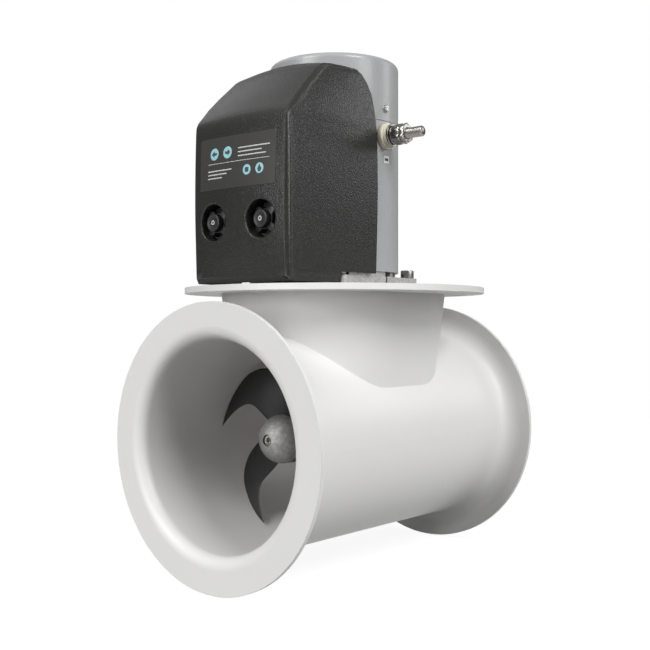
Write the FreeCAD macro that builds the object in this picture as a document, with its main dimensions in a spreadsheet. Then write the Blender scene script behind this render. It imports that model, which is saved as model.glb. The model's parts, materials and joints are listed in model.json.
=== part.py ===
import FreeCAD, Part
import math
import os
import re

import Sketcher
from FreeCAD import Placement, Rotation, Vector

# Electric bow thruster: a moulded tunnel with a flanged mounting plate, a bronze gear leg with a
# five-bladed propeller inside it, and a direct-current motor with its control gear on top.
#
# Frame: millimetres, +Z up along the motor shaft, the tunnel runs along Y and the propeller end
# faces -Y. The origin is the centre of the mounting plate's underside.

doc = FreeCAD.newDocument("bow_thruster")
sheet = doc.addObject("Spreadsheet::Sheet", "Sizes")

# ---------------------------------------------------------------------------------------------
# Driving dimensions
# ---------------------------------------------------------------------------------------------
SIZES = [
    # tunnel and mounting plate
    ("tunnel_drop", 134.4, "tunnel axis below the plate's underside"),
    ("tunnel_bore", 92.5, "tunnel inner radius"),
    ("tunnel_wall", 5.0, "laminate thickness of the tube"),
    ("tunnel_half", 165.5, "half the tunnel length"),
    ("rim_outer", 124.9, "radius of the end flanges"),
    ("rim_thick", 4.0, "thickness of the end flanges"),
    ("flare_round", 11.0, "radius of the flare at each mouth"),
    ("plate_outer", 144.5, "radius of the mounting plate"),
    ("plate_thick", 5.6, "thickness of the mounting plate"),
    ("neck_half_x", 95.0, "half width of the neck under the plate"),
    ("neck_half_y", 104.0, "half length of the neck under the plate"),
    ("neck_corner", 76.0, "corner radius of the neck"),
    ("neck_draft", 6.8, "draft of the neck in degrees"),
    ("well_bore", 36.0, "radius of the well around the leg's stem"),
    ("well_floor", 33.0, "depth of the landing for the leg bolts"),
    # motor and its bracket
    ("bracket_half", 60.0, "half the side of the square bracket"),
    ("bracket_base", 10.0, "thickness of the bracket's foot"),
    ("bracket_rise", 4.5, "height of the bracket's raised seat"),
    ("bracket_bore", 40.0, "radius of the bracket's central opening"),
    ("bracket_pitch", 51.0, "half the spacing of the bracket screws"),
    ("motor_outer", 62.4, "motor radius"),
    ("motor_wall", 5.0, "thickness of the motor's steel tube"),
    ("motor_tube_length", 140.9, "length of the steel tube"),
    ("motor_cap_length", 59.6, "length of the commutator end cap"),
    ("motor_cap_round", 5.0, "radius round the top of the end cap"),
    ("rotor_outer", 37.5, "armature radius"),
    ("commutator_outer", 21.0, "commutator radius"),
    ("shaft_outer", 8.0, "motor shaft radius"),
    # gear leg and drive line
    ("torpedo_outer", 24.0, "radius of the gear house"),
    ("torpedo_front", 34.0, "front face of the gear house from the motor axis"),
    ("torpedo_rear", 36.0, "rear face of the gear house from the motor axis"),
    ("stem_outer", 20.7, "radius of the leg's stem"),
    ("leg_shaft", 6.0, "radius of the drive and propeller shafts"),
    ("gear_module", 1.8, "transverse module of the bevel gears"),
    ("pinion_teeth", 12, "teeth of the bevel pinion"),
    ("wheel_teeth", 18, "teeth of the bevel wheel"),
    ("gear_face", 8.0, "face width of the bevel gears"),
    # propeller
    ("hub_outer", 22.4, "radius of the propeller hub and of the anode"),
    ("hub_front", 73.6, "front face of the hub from the motor axis"),
    ("hub_rear", 36.5, "rear face of the hub from the motor axis"),
    ("blade_tip", 89.4, "radius of the blade tips"),
    ("blade_count", 5, "number of blades"),
    ("blade_lead", 150.0, "pitch of the blades, in millimetres for each turn"),
    ("tip_front", 65.0, "tip edge from the motor axis"),
    # control gear cover
    ("cover_front", 131.0, "front face of the cover from the motor axis"),
    ("cover_half_front", 55.0, "half width of the cover's front face"),
    ("cover_half_bevel", 61.0, "half width behind the corner bevel"),
    ("cover_half_rear", 66.0, "half width at the rear edge"),
    ("cover_rear", 15.0, "rear edge of the cover from the motor axis"),
    ("cover_wall", 3.0, "wall of the cover"),
    ("cover_crease", 149.6, "height at which the roof and the sides start to lean"),
    ("cover_lean", 8.8, "lean of the upper sides in degrees"),
    ("knob_outer", 15.0, "radius of the cover knobs"),
    ("knob_spacing", 58.0, "distance between the cover knobs"),
    ("knob_height", 61.5, "height of the cover knobs above the plate's underside"),
]


def write_sizes():
    """Fill the spreadsheet: a name, a plain number and its meaning on each row."""
    for row, (name, number, meaning) in enumerate(SIZES, start=1):
        sheet.set("A%d" % row, name)
        sheet.set("B%d" % row, str(number))
        sheet.set("C%d" % row, meaning)
        sheet.setAlias("B%d" % row, name)
    doc.recompute()


write_sizes()
NAMES = {name for name, number, meaning in SIZES}


def bound(expression):
    """The expression with every driving dimension named as the sheet's own."""
    return re.sub(
        r"[a-z_]+",
        lambda word: "Sizes." + word.group(0) if word.group(0) in NAMES else word.group(0),
        str(expression),
    )


def size(expression):
    """The number that an expression of driving dimensions gives."""
    value = sheet.evalExpression(bound(expression))
    return float(getattr(value, "Value", value))


# ---------------------------------------------------------------------------------------------
# Helpers for bodies, sketches and patterns
# ---------------------------------------------------------------------------------------------
PIECES = []
UP = Rotation()
# turns a piece made along its own Z so that its Z points along +Y, -Y, +X or -X
ALONG_Y = Rotation(Vector(1, 0, 0), -90)
ALONG_MINUS_Y = Rotation(Vector(1, 0, 0), 90)
ALONG_X = Rotation(Vector(0, 1, 0), 90)


def keep(piece, name):
    """Give a finished sub-part its label, which also names its file."""
    piece.Label = name
    PIECES.append(piece)
    return piece


def place(piece, x="0", y="0", z="0", turn=UP):
    """Place a piece, with each coordinate bound to the driving dimensions."""
    piece.Placement = Placement(Vector(size(x), size(y), size(z)), turn)
    for axis, expression in (("x", x), ("y", y), ("z", z)):
        if NAMES & set(re.findall(r"[a-z_]+", expression)):
            piece.setExpression("Placement.Base." + axis, bound(expression))
    return piece


def origin_feature(body, role):
    """The origin plane or axis of a body that has this role."""
    return [item for item in body.Origin.OriginFeatures if item.Role == role][0]


def new_body(name):
    """An empty body, ready for sketches."""
    return doc.addObject("PartDesign::Body", "Body_" + name)


def new_sketch(body, role, offset="0", shift="0"):
    """A sketch on an origin plane, lifted off it by offset and moved along its X by shift."""
    sketch = body.newObject("Sketcher::SketchObject", "Sketch")
    sketch.AttachmentSupport = (origin_feature(body, role), [""])
    sketch.MapMode = "FlatFace"
    sketch.AttachmentOffset = Placement(Vector(size(shift), 0, size(offset)), UP)
    if NAMES & set(re.findall(r"[a-z_]+", offset)):
        sketch.setExpression("AttachmentOffset.Base.z", bound(offset))
    if NAMES & set(re.findall(r"[a-z_]+", shift)):
        sketch.setExpression("AttachmentOffset.Base.x", bound(shift))
    return sketch


def arc_middle(start, end, radius, side):
    """A point half way along the short arc between two points, bulging to one side."""
    chord = end - start
    sagitta = radius - math.sqrt(max(radius**2 - (chord.Length / 2) ** 2, 0.0))
    across = Vector(-chord.y, chord.x, 0).normalize()
    return (start + end) * 0.5 + across * (sagitta * side)


def outline(sketch, corners):
    """Draw a closed outline. A corner is (x, y), and a corner with a radius and a side as well
    is reached by an arc of that radius that bulges to the left (1) or the right (-1)."""
    points = [Vector(size(corner[0]), size(corner[1]), 0) for corner in corners]
    first = sketch.GeometryCount
    for index, corner in enumerate(corners):
        start, end = points[index - 1], points[index]
        if len(corner) == 4:
            middle = arc_middle(start, end, size(corner[2]), corner[3])
            ways = (start, end) if corner[3] < 0 else (end, start)
            sketch.addGeometry(Part.Arc(ways[0], middle, ways[1]), False)
        else:
            sketch.addGeometry(Part.LineSegment(start, end), False)
    edges = []
    for index, corner in enumerate(corners):
        curve = sketch.Geometry[first + index]
        forward = (curve.EndPoint - points[index]).Length < 1e-6
        edges.append((first + index, 1 if forward else 2, 2 if forward else 1))
    for index, corner in enumerate(corners):
        line, start, end = edges[index]
        following, next_start, next_end = edges[(index + 1) % len(corners)]
        sketch.addConstraint(Sketcher.Constraint("Coincident", line, end, following, next_start))
        for kind, expression, value in (
            ("DistanceX", corner[0], points[index].x),
            ("DistanceY", corner[1], points[index].y),
        ):
            number = sketch.addConstraint(Sketcher.Constraint(kind, -1, 1, line, end, value))
            if NAMES & set(re.findall(r"[a-z_]+", str(expression))):
                sketch.setExpression("Constraints[%d]" % number, bound(expression))
        if len(corner) == 4:
            radius = size(corner[2])
            number = sketch.addConstraint(Sketcher.Constraint("Radius", line, radius))
            if NAMES & set(re.findall(r"[a-z_]+", str(corner[2]))):
                sketch.setExpression("Constraints[%d]" % number, bound(corner[2]))
    return sketch


def circle(sketch, radius, x="0", y="0"):
    """Draw a circle at a point."""
    index = sketch.addGeometry(
        Part.Circle(Vector(size(x), size(y), 0), Vector(0, 0, 1), size(radius)), False
    )
    number = sketch.addConstraint(Sketcher.Constraint("Radius", index, size(radius)))
    if NAMES & set(re.findall(r"[a-z_]+", radius)):
        sketch.setExpression("Constraints[%d]" % number, bound(radius))
    for kind, expression in (("DistanceX", x), ("DistanceY", y)):
        number = sketch.addConstraint(
            Sketcher.Constraint(kind, -1, 1, index, 3, size(expression))
        )
        if NAMES & set(re.findall(r"[a-z_]+", expression)):
            sketch.setExpression("Constraints[%d]" % number, bound(expression))
    return sketch


def revolve(body, sketch, axis="V_Axis", kind="PartDesign::Revolution"):
    """Turn a sketch a full circle round one of its own axes."""
    feature = body.newObject(kind, "Turned")
    feature.Profile = sketch
    feature.ReferenceAxis = (sketch, [axis])
    feature.Angle = 360
    sketch.Visibility = False
    doc.recompute()
    return feature


def pad(body, sketch, length, down=False):
    """Raise a sketch by a length."""
    feature = body.newObject("PartDesign::Pad", "Raised")
    feature.Profile = sketch
    feature.Length = size(length)
    if NAMES & set(re.findall(r"[a-z_]+", length)):
        feature.setExpression("Length", bound(length))
    feature.Reversed = down
    doc.recompute()
    return feature


def pocket(body, sketch, length, up=False):
    """Sink a sketch into the body by a length, and check that it has cut something."""
    before = body.Shape.Volume
    feature = body.newObject("PartDesign::Pocket", "Sunk")
    feature.Profile = sketch
    feature.Length = size(length)
    if NAMES & set(re.findall(r"[a-z_]+", length)):
        feature.setExpression("Length", bound(length))
    feature.Reversed = up
    doc.recompute()
    if body.Shape.Volume >= before:
        raise RuntimeError("a pocket of %s cut nothing" % body.Name)
    return feature


def repeat(body, features, count, axis="Z_Axis"):
    """Repeat features round an axis of the body."""
    pattern = body.newObject("PartDesign::PolarPattern", "Repeated")
    pattern.Originals = features
    pattern.Axis = (origin_feature(body, axis), [""])
    pattern.Angle = 360
    pattern.Occurrences = int(count)
    body.Tip = pattern
    doc.recompute()
    return pattern


def turned(name, corners, x="0", y="0", z="0", turn=UP):
    """A turned piece: corners are (radius, height) along its own Z."""
    body = new_body(name)
    revolve(body, outline(new_sketch(body, "XZ_Plane"), corners))
    return keep(place(body, x, y, z, turn), name)


def ring_corners(inner, outer, low, high):
    """The rectangle of a plain ring."""
    return [(inner, low), (outer, low), (outer, high), (inner, high)]


def solid_feature(name, shape):
    """A sub-part whose form is worked out by this script from the driving dimensions."""
    feature = doc.addObject("Part::Feature", name)
    feature.Shape = shape
    return keep(feature, name)


def cut(base, tools, refine=True):
    """A base shape with several tool shapes taken away."""
    result = base.cut(tools)
    return result.removeSplitter() if refine else result


def tube(radius, low, high, x=0.0, y=0.0, direction=Vector(0, 0, 1)):
    """A plain cylinder from low to high along a direction."""
    base = Vector(x, y, 0) + direction * low
    return Part.makeCylinder(radius, high - low, base, direction)


# ---------------------------------------------------------------------------------------------
# Tunnel housing
# ---------------------------------------------------------------------------------------------
def tunnel_tube():
    """The tube with its flared mouths and end flanges, turned about the tunnel axis."""
    body = new_body("tunnel_tube")
    rim_back = "tunnel_half-rim_thick"
    outer = "tunnel_bore+tunnel_wall"
    corners = [
        ("tunnel_bore", "-(tunnel_half-flare_round)"),
        ("tunnel_bore+flare_round", "-tunnel_half", "flare_round", -1),
        ("rim_outer", "-tunnel_half"),
        ("rim_outer", "-(%s)" % rim_back),
        (outer + "+flare_round-2", "-(%s)" % rim_back),
        (outer, "-(%s-flare_round+2)" % rim_back, "flare_round-2", 1),
        (outer, "%s-flare_round+2" % rim_back),
        (outer + "+flare_round-2", rim_back, "flare_round-2", 1),
        ("rim_outer", rim_back),
        ("rim_outer", "tunnel_half"),
        ("tunnel_bore+flare_round", "tunnel_half"),
        ("tunnel_bore", "tunnel_half-flare_round", "flare_round", -1),
    ]
    revolve(body, outline(new_sketch(body, "XZ_Plane"), corners))
    return place(body, z="-tunnel_drop", turn=ALONG_Y)


def rounded_rectangle(half_x, half_y, corner, z):
    """A closed wire: a rectangle with round corners, level at a height."""
    cx, cy = half_x - corner, half_y - corner
    lean = corner / math.sqrt(2)
    edges = []
    for sx, sy, swap in ((1, 1, False), (-1, 1, True), (-1, -1, False), (1, -1, True)):
        on_x = Vector(sx * half_x, sy * cy, z)
        on_y = Vector(sx * cx, sy * half_y, z)
        middle = Vector(sx * (cx + lean), sy * (cy + lean), z)
        start, end = (on_y, on_x) if swap else (on_x, on_y)
        edges.append((start, middle, end))
    wire = []
    for index, (start, middle, end) in enumerate(edges):
        wire.append(Part.Arc(start, middle, end).toShape())
        following = edges[(index + 1) % 4][0]
        if (following - end).Length > 1e-6:
            wire.append(Part.LineSegment(end, following).toShape())
    return Part.Wire(wire)


def tunnel_neck():
    """The drafted neck between the tube and the plate, as a loft of two round-cornered frames."""
    depth = size("tunnel_drop")
    shrink = depth * math.tan(math.radians(size("neck_draft")))
    corner = size("neck_corner")
    top = rounded_rectangle(size("neck_half_x"), size("neck_half_y"), corner, 0.0)
    low = rounded_rectangle(
        size("neck_half_x") - shrink, size("neck_half_y") - shrink, corner - shrink, -depth
    )
    return Part.makeLoft([low, top], True, True)


def tunnel_housing():
    """Tube, neck and plate in one moulding, bored for the gear leg and its bolts."""
    tube_shape = tunnel_tube().Shape
    drop = size("tunnel_drop")
    axis_y = Vector(0, 1, 0)
    inside = Part.makeCylinder(
        size("tunnel_bore"), 2 * size("tunnel_half"), Vector(0, -size("tunnel_half"), -drop), axis_y
    )
    plate = tube(size("plate_outer"), 0, size("plate_thick"))
    neck = tunnel_neck().cut(inside)
    moulding = tube_shape.fuse([neck, plate]).removeSplitter()
    well = tube(size("well_bore"), -size("well_floor"), size("plate_thick") + 1)
    stem = tube(size("stem_outer") + 0.3, -60, 0)
    bolts = [tube(4.4, -60, 0, 0, side * LEG_BOLT_Y) for side in (-1, 1)]
    pitch = size("bracket_pitch")
    screws = [tube(4.05, -7, 6, sx * pitch, sy * pitch) for sx in (-1, 1) for sy in (-1, 1)]
    return solid_feature("tunnel_housing", cut(moulding, [well, stem] + bolts + screws))


LEG_BOLT_Y = 29.0
tunnel_housing()


# ---------------------------------------------------------------------------------------------
# Motor bracket
# ---------------------------------------------------------------------------------------------
def motor_bracket():
    """The cast foot: a square base, a raised seat open to the rear, and a slotted rear ring."""
    half, base = size("bracket_half"), size("bracket_base")
    rise, low = size("bracket_rise"), size("plate_thick")
    top = low + base + rise
    foot = Part.makeBox(2 * half, 2 * half, base, Vector(-half, -half, low))
    corner_edges = [edge for edge in foot.Edges if abs(edge.Vertexes[0].Z - edge.Vertexes[1].Z) > 1]
    foot = foot.makeFillet(9, corner_edges)
    block = Part.makeBox(2 * half, half + 4, base + rise, Vector(-half, -half, low))
    upright = [edge for edge in block.Edges if abs(edge.Vertexes[0].Z - edge.Vertexes[1].Z) > 1]
    block = block.makeFillet(6, upright)
    ring = tube(half - 0.5, low, top)
    casting = foot.fuse([block, ring])
    opening = tube(size("bracket_bore"), low - 1, top + 1)
    pockets = [
        tube(8.0, low + base, top + 1, sx * size("bracket_pitch"), sy * size("bracket_pitch"))
        for sx in (-1, 1)
        for sy in (-1, 1)
    ]
    notch = Part.makeBox(9.5, 9.5, rise + 1, Vector(half - 9, -half - 0.5, low + base))
    notches = [notch, notch.mirror(Vector(0, 0, 0), Vector(1, 0, 0))]
    screws = [
        tube(4.5, low - 1, top + 1, sx * size("bracket_pitch"), sy * size("bracket_pitch"))
        for sx in (-1, 1)
        for sy in (-1, 1)
    ]
    slots = []
    for side in (0, 180):
        slot = Part.makeBox(30, 2.4, base + rise + 2, Vector(50, 4, low - 1))
        slots.append(slot.rotate(Vector(0, 0, 0), Vector(0, 0, 1), side) if side else slot)
    windows = []
    for angle in (9.5, 24, 42, 60, 78, 102, 120, 138, 156, 170.5):
        window = Part.makeBox(14, 8, rise + 1, Vector(size("bracket_bore") + 8, -4, low + base + 0.5))
        window.rotate(Vector(0, 0, 0), Vector(0, 0, 1), angle)
        windows.append(window)
    flange_screws = [
        tube(3.3, low - 1, top + 1, 46 * math.cos(a), 46 * math.sin(a)) for a in QUARTERS
    ]
    heads = [tube(5.6, low - 1, low + 6, 46 * math.cos(a), 46 * math.sin(a)) for a in QUARTERS]
    tools = [opening] + pockets + notches + screws + slots + windows + flange_screws + heads
    return solid_feature("motor_bracket", cut(casting, tools))


QUARTERS = [math.radians(angle) for angle in (0, 90, 180, 270)]
motor_bracket()


def cap_screws(name, shank, head, head_length, length, count, pitch, x="0", y="0", z="0", turn=UP):
    """Socket-head cap screws on a circle: the head stands on z = 0 of the group."""
    body = new_body(name)
    corners = [
        ("0", "-(%s)" % length),
        (shank, "-(%s)" % length),
        (shank, "0"),
        (head, "0"),
        (head, "%s-0.6" % head_length),
        ("%s-0.6" % head, head_length),
        ("0", head_length),
    ]
    round_part = revolve(
        body, outline(new_sketch(body, "XZ_Plane", shift=pitch), corners), "V_Axis"
    )
    flats = float(size(shank)) * 0.75
    hexagon = [
        ("%.4f" % (flats * 1.1547 * math.cos(a)), "%.4f" % (flats * 1.1547 * math.sin(a)))
        for a in [math.radians(60 * step) for step in range(6)]
    ]
    sketch = new_sketch(body, "XY_Plane", head_length, pitch)
    outline(sketch, hexagon)
    socket = pocket(body, sketch, "%s*0.55" % head_length)
    if count > 1:
        repeat(body, [round_part, socket], count)
    return keep(place(body, x, y, z, turn), name)


cap_screws(
    "bracket_screws",
    "4",
    "6.4",
    "8",
    "bracket_base+plate_thick+6",
    4,
    "bracket_pitch*sqrt(2)",
    z="plate_thick+bracket_base",
    turn=Rotation(Vector(0, 0, 1), 45),
)
cap_screws(
    "motor_flange_screws",
    "3",
    "5",
    "5",
    "17",
    4,
    "46",
    z="plate_thick+6",
    turn=Rotation(Vector(1, 0, 0), 180),
)


# ---------------------------------------------------------------------------------------------
# Motor
# ---------------------------------------------------------------------------------------------
MOTOR_BOTTOM = "plate_thick+bracket_base+bracket_rise"
SEAM = MOTOR_BOTTOM + "+motor_tube_length"
MOTOR_TOP = SEAM + "+motor_cap_length"
TERMINAL_Z = SEAM + "-14.4"


def motor_casing():
    """The steel tube of the motor, with a bore at each side for a terminal bush."""
    body = new_body("motor_casing")
    corners = ring_corners("motor_outer-motor_wall", "motor_outer", "0", "motor_tube_length")
    revolve(body, outline(new_sketch(body, "XZ_Plane"), corners))
    sketch = new_sketch(body, "YZ_Plane", "-80")
    circle(sketch, "8.2", "0", "motor_tube_length-14.4")
    pocket(body, sketch, "160", up=True)
    return keep(place(body, z=MOTOR_BOTTOM), "motor_casing")


motor_casing()


def motor_end_cap():
    """The cast commutator end cap, rounded at the top, with a bearing seat inside."""
    body = new_body("motor_end_cap")
    corners = [
        ("0", "motor_cap_length-4"),
        ("16.1", "motor_cap_length-4"),
        ("16.1", "motor_cap_length-16"),
        ("20", "motor_cap_length-16"),
        ("20", "motor_cap_length-7"),
        ("motor_outer-6", "motor_cap_length-7"),
        ("motor_outer-6", "0"),
        ("motor_outer", "0"),
        ("motor_outer", "motor_cap_length-motor_cap_round"),
        ("motor_outer-motor_cap_round", "motor_cap_length", "motor_cap_round", -1),
        ("0", "motor_cap_length"),
    ]
    revolve(body, outline(new_sketch(body, "XZ_Plane"), corners))
    sketch = new_sketch(body, "XZ_Plane", "-80")
    circle(sketch, "1.9", "0", "11.6")
    pocket(body, sketch, "160", up=True)
    sketch = new_sketch(body, "YZ_Plane", "-80")
    circle(sketch, "1.9", "0", "11.6")
    pocket(body, sketch, "160", up=True)
    return keep(place(body, z=SEAM), "motor_end_cap")


motor_end_cap()


def hex_nut_or_head(body, flats, thickness, offset, bore="0", shift="0", down=False):
    """Pad a hexagon, with an optional bore, on a plane of the body's XY."""
    radius = size(flats) / math.sqrt(3)
    sketch = new_sketch(body, "XY_Plane", offset, shift)
    hexagon = [
        ("%.4f" % (radius * math.cos(a)), "%.4f" % (radius * math.sin(a)))
        for a in [math.radians(60 * step + 30) for step in range(6)]
    ]
    outline(sketch, hexagon)
    if size(bore) > 0:
        circle(sketch, bore)
    return pad(body, sketch, thickness, down)


def end_cap_screws():
    """Four small hexagon-head screws that hold the end cap, set radially round it."""
    body = new_body("end_cap_screws")
    corners = [
        ("motor_outer-9", "0"),
        ("motor_outer+2.6", "0"),
        ("motor_outer+2.6", "2.6"),
        ("motor_outer+2.0", "3.2"),
        ("motor_outer+0.05", "3.2"),
        ("motor_outer+0.05", "1.8"),
        ("motor_outer-9", "1.8"),
    ]
    screw = revolve(body, outline(new_sketch(body, "XZ_Plane"), corners), "H_Axis")
    repeat(body, [screw], 4)
    return keep(place(body, z=SEAM + "+11.6"), "end_cap_screws")


end_cap_screws()

def drive_end_shield():
    """The lower end plate of the motor: a bearing seat and four threaded holes."""
    body = new_body("drive_end_shield")
    corners = [
        ("16.05", "0"),
        ("motor_outer-motor_wall-0.05", "0"),
        ("motor_outer-motor_wall-0.05", "10"),
        ("30", "10"),
        ("22", "12"),
        ("16.05", "12"),
    ]
    revolve(body, outline(new_sketch(body, "XZ_Plane"), corners))
    sketch = new_sketch(body, "XY_Plane")
    for x, y in (("46", "0"), ("-46", "0"), ("0", "46"), ("0", "-46")):
        circle(sketch, "3.05", x, y)
    pocket(body, sketch, "9", up=True)
    return keep(place(body, z=MOTOR_BOTTOM), "drive_end_shield")


drive_end_shield()


def sector(inner, outer, low, high, middle, half_angle):
    """A block between two radii, two heights and two angles, in degrees."""
    ring = tube(outer, low, high).cut(tube(inner, low - 1, high + 1))
    reach = outer * 1.5
    spread = math.radians(half_angle)
    points = [
        Vector(0, 0, low - 1),
        Vector(reach, -reach * math.tan(spread), low - 1),
        Vector(reach, reach * math.tan(spread), low - 1),
    ]
    wedge = Part.Face(Part.makePolygon(points + points[:1])).extrude(Vector(0, 0, high - low + 2))
    wedge.rotate(Vector(0, 0, 0), Vector(0, 0, 1), middle)
    return ring.common(wedge)


def all_round(shape, count, start=0.0):
    """Copies of a shape turned evenly about Z, as a list."""
    copies = []
    for step in range(count):
        turned_copy = shape.copy()
        turned_copy.rotate(Vector(0, 0, 0), Vector(0, 0, 1), start + 360.0 * step / count)
        copies.append(turned_copy)
    return copies


def field_system():
    """Four pole shoes inside the steel tube, each with its field coil round it."""
    bore = size("motor_outer-motor_wall") - 0.05
    face = size("rotor_outer") + 0.8
    low, high = size(MOTOR_BOTTOM) + 22, size(MOTOR_BOTTOM) + 108
    shoe = sector(face, face + 4, low, high, 0, 34)
    post = sector(face + 3, bore, low + 8, high - 8, 0, 17)
    pole = shoe.fuse(post).removeSplitter()
    outer = sector(face + 4.3, bore - 2.5, low + 1, high - 1, 0, 30)
    coil = outer.cut(sector(face, bore + 2, low + 7.6, high - 7.6, 0, 17.6))
    solid_feature("field_poles", Part.makeCompound(all_round(pole, 4, 45)))
    solid_feature("field_coils", Part.makeCompound(all_round(coil, 4, 45)))


field_system()

turned(
    "motor_shaft",
    [
        ("0", "2.2"),
        ("shaft_outer-0.5", "2.2"),
        ("shaft_outer", "2.7"),
        ("shaft_outer", MOTOR_TOP + "-5.5"),
        ("0", MOTOR_TOP + "-5.5"),
    ],
)


def armature():
    """The slotted core, its end windings and the commutator, all on the motor shaft."""
    outer, shaft = size("rotor_outer"), size("shaft_outer")
    low, high = size(MOTOR_BOTTOM) + 24, size(MOTOR_BOTTOM) + 106
    core = tube(outer, low, high).cut(tube(shaft, low - 1, high + 1))
    slot = Part.makeBox(outer, 3.2, high - low + 2, Vector(outer - 11, -1.6, low - 1))
    solid_feature("armature_core", cut(core, all_round(slot, 18)))
    bars = Part.makeBox(8.5, 2.9, high - low, Vector(outer - 10.5, -1.45, low))
    lower = tube(outer - 2, low - 11, low).cut(tube(shaft + 8, low - 12, low + 1))
    upper = tube(outer - 2, high, high + 14).cut(tube(shaft + 8, high - 1, high + 15))
    winding = lower.fuse([upper] + all_round(bars, 18))
    solid_feature("armature_windings", winding.removeSplitter())
    bottom, top = high + 16, high + 48
    segments = tube(size("commutator_outer"), bottom, top).cut(tube(shaft, bottom - 1, top + 1))
    groove = Part.makeBox(5, 0.7, top - bottom + 2, Vector(size("commutator_outer") - 2, -0.35, bottom - 1))
    solid_feature("commutator", cut(segments, all_round(groove, 18, 10)))
    return bottom, top


COMMUTATOR_LOW, COMMUTATOR_HIGH = armature()


def brush_gear():
    """The holder ring with four guides, the carbon brushes in them and their springs."""
    middle = (COMMUTATOR_LOW + COMMUTATOR_HIGH) / 2
    contact = size("commutator_outer") + 0.05
    bore = size("motor_outer-motor_wall") - 0.1
    plate = tube(bore, COMMUTATOR_LOW - 1, COMMUTATOR_LOW + 2).cut(
        tube(size("commutator_outer") + 3, COMMUTATOR_LOW - 2, COMMUTATOR_LOW + 3)
    )
    relief = Part.makeBox(20, 24, 6, Vector(44, -12, COMMUTATOR_LOW - 2))
    plate = plate.cut(all_round(relief, 2))
    guide = Part.makeBox(24, 14, 22, Vector(contact + 3, -7, COMMUTATOR_LOW + 2))
    channel = Part.makeBox(40, 10.1, 16.1, Vector(contact - 4, -5.05, middle - 8.05))
    guides = [guide.cut(channel)]
    holders = [piece for item in guides for piece in all_round(item, 4, 45)]
    solid_feature("brush_holder", plate.fuse(holders).removeSplitter())
    brush = Part.makeBox(17, 10, 16, Vector(contact - 1, -5, middle - 8))
    brush = brush.cut(tube(contact, COMMUTATOR_LOW - 5, COMMUTATOR_HIGH + 5))
    solid_feature("brushes", Part.makeCompound(all_round(brush, 4, 45)))
    coil = tube(4.0, middle - 4, middle + 4).cut(tube(2.8, middle - 5, middle + 5))
    coil.translate(Vector(contact + 20.4, 0, 0))
    arm = Part.makeBox(0.8, 8, 8, Vector(contact + 16.05, -4, middle - 4))
    spring = coil.fuse(arm).removeSplitter()
    solid_feature("brush_springs", Part.makeCompound(all_round(spring, 4, 45)))


brush_gear()


# ---------------------------------------------------------------------------------------------
# Ball bearings
# ---------------------------------------------------------------------------------------------
def bearing(bore, outer, width, low):
    """Outer ring, inner ring and balls of a ball bearing on Z that starts at a height."""
    middle, pitch = low + width / 2, (bore + outer) / 2
    ball = (outer - bore) * 0.30
    race = Part.makeTorus(pitch, ball + 0.05, Vector(0, 0, middle), Vector(0, 0, 1))
    split = (outer - bore) * 0.18
    high = low + width
    outer_ring = tube(outer, low, high).cut([tube(pitch + split, low - 1, high + 1), race])
    inner_ring = tube(pitch - split, low, high).cut([tube(bore, low - 1, high + 1), race])
    balls = [
        Part.makeSphere(ball, Vector(pitch * math.cos(a), pitch * math.sin(a), middle))
        for a in [math.radians(360.0 * step / 7) for step in range(7)]
    ]
    return outer_ring, inner_ring, balls


def along_tunnel(shape, y):
    """A shape made on Z, laid along the tunnel axis so that its z = 0 comes at y."""
    moved = shape.copy()
    moved.Placement = Placement(Vector(0, y, -size("tunnel_drop")), ALONG_Y)
    return moved


# ---------------------------------------------------------------------------------------------
# Motor terminals
# ---------------------------------------------------------------------------------------------
def both_sides(name, corners, flats=None):
    """A turned terminal piece on the +X side and its twin on the -X side."""
    body = new_body(name)
    first = revolve(body, outline(new_sketch(body, "XZ_Plane"), corners), "H_Axis")
    features = [first]
    if flats:
        near, thickness, across = flats
        sketch = new_sketch(body, "YZ_Plane", near)
        radius = across / math.sqrt(3)
        outline(
            sketch,
            [
                ("%.4f" % (radius * math.cos(a)), "%.4f" % (radius * math.sin(a)))
                for a in [math.radians(60 * step) for step in range(6)]
            ],
        )
        features.append(pad(body, sketch, thickness))
        bore = new_sketch(body, "YZ_Plane", near + "-1")
        circle(bore, "5.05")
        features.append(pocket(body, bore, "30", up=True))
    repeat(body, features, 2)
    return keep(place(body, z=TERMINAL_Z), name)


def terminals():
    """Cream flanged bush, flat washer, spring washer, nuts and threaded stud at each side."""
    face = "motor_outer"
    both_sides(
        "terminal_bushes",
        [
            (face + "-9", "5.1"),
            (face + "+8", "5.1"),
            (face + "+8", "9.2"),
            (face + "+4.4", "9.2"),
            (face + "+4.4", "12.2"),
            (face + "+0.1", "12.2"),
            (face + "+0.1", "8.1"),
            (face + "-9", "8.1"),
        ],
    )
    both_sides(
        "terminal_washers",
        [(face + "+8", "5.2"), (face + "+10", "5.2"), (face + "+10", "10.5"), (face + "+8", "10.5")],
    )
    both_sides(
        "terminal_spring_washers",
        [(face + "+10", "5.2"), (face + "+12.4", "5.2"), (face + "+12.4", "8.8"), (face + "+10", "8.8")],
    )
    both_sides(
        "terminal_studs",
        [
            (face + "-14", "0"),
            (face + "+42.6", "0"),
            (face + "+42.6", "3.8"),
            (face + "+41.5", "4.9"),
            (face + "+21", "4.9"),
            (face + "+21", "5"),
            (face + "-9", "5"),
            (face + "-9", "9"),
            (face + "-14", "9"),
        ],
    )
    both_sides(
        "terminal_nuts",
        [
            (face + "+12.4", "5.05"),
            (face + "+13", "5.05"),
            (face + "+13", "8.2"),
            (face + "+12.4", "8.2"),
        ],
        (face + "+12.9", "8.1", 17.0),
    )


terminals()


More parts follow.
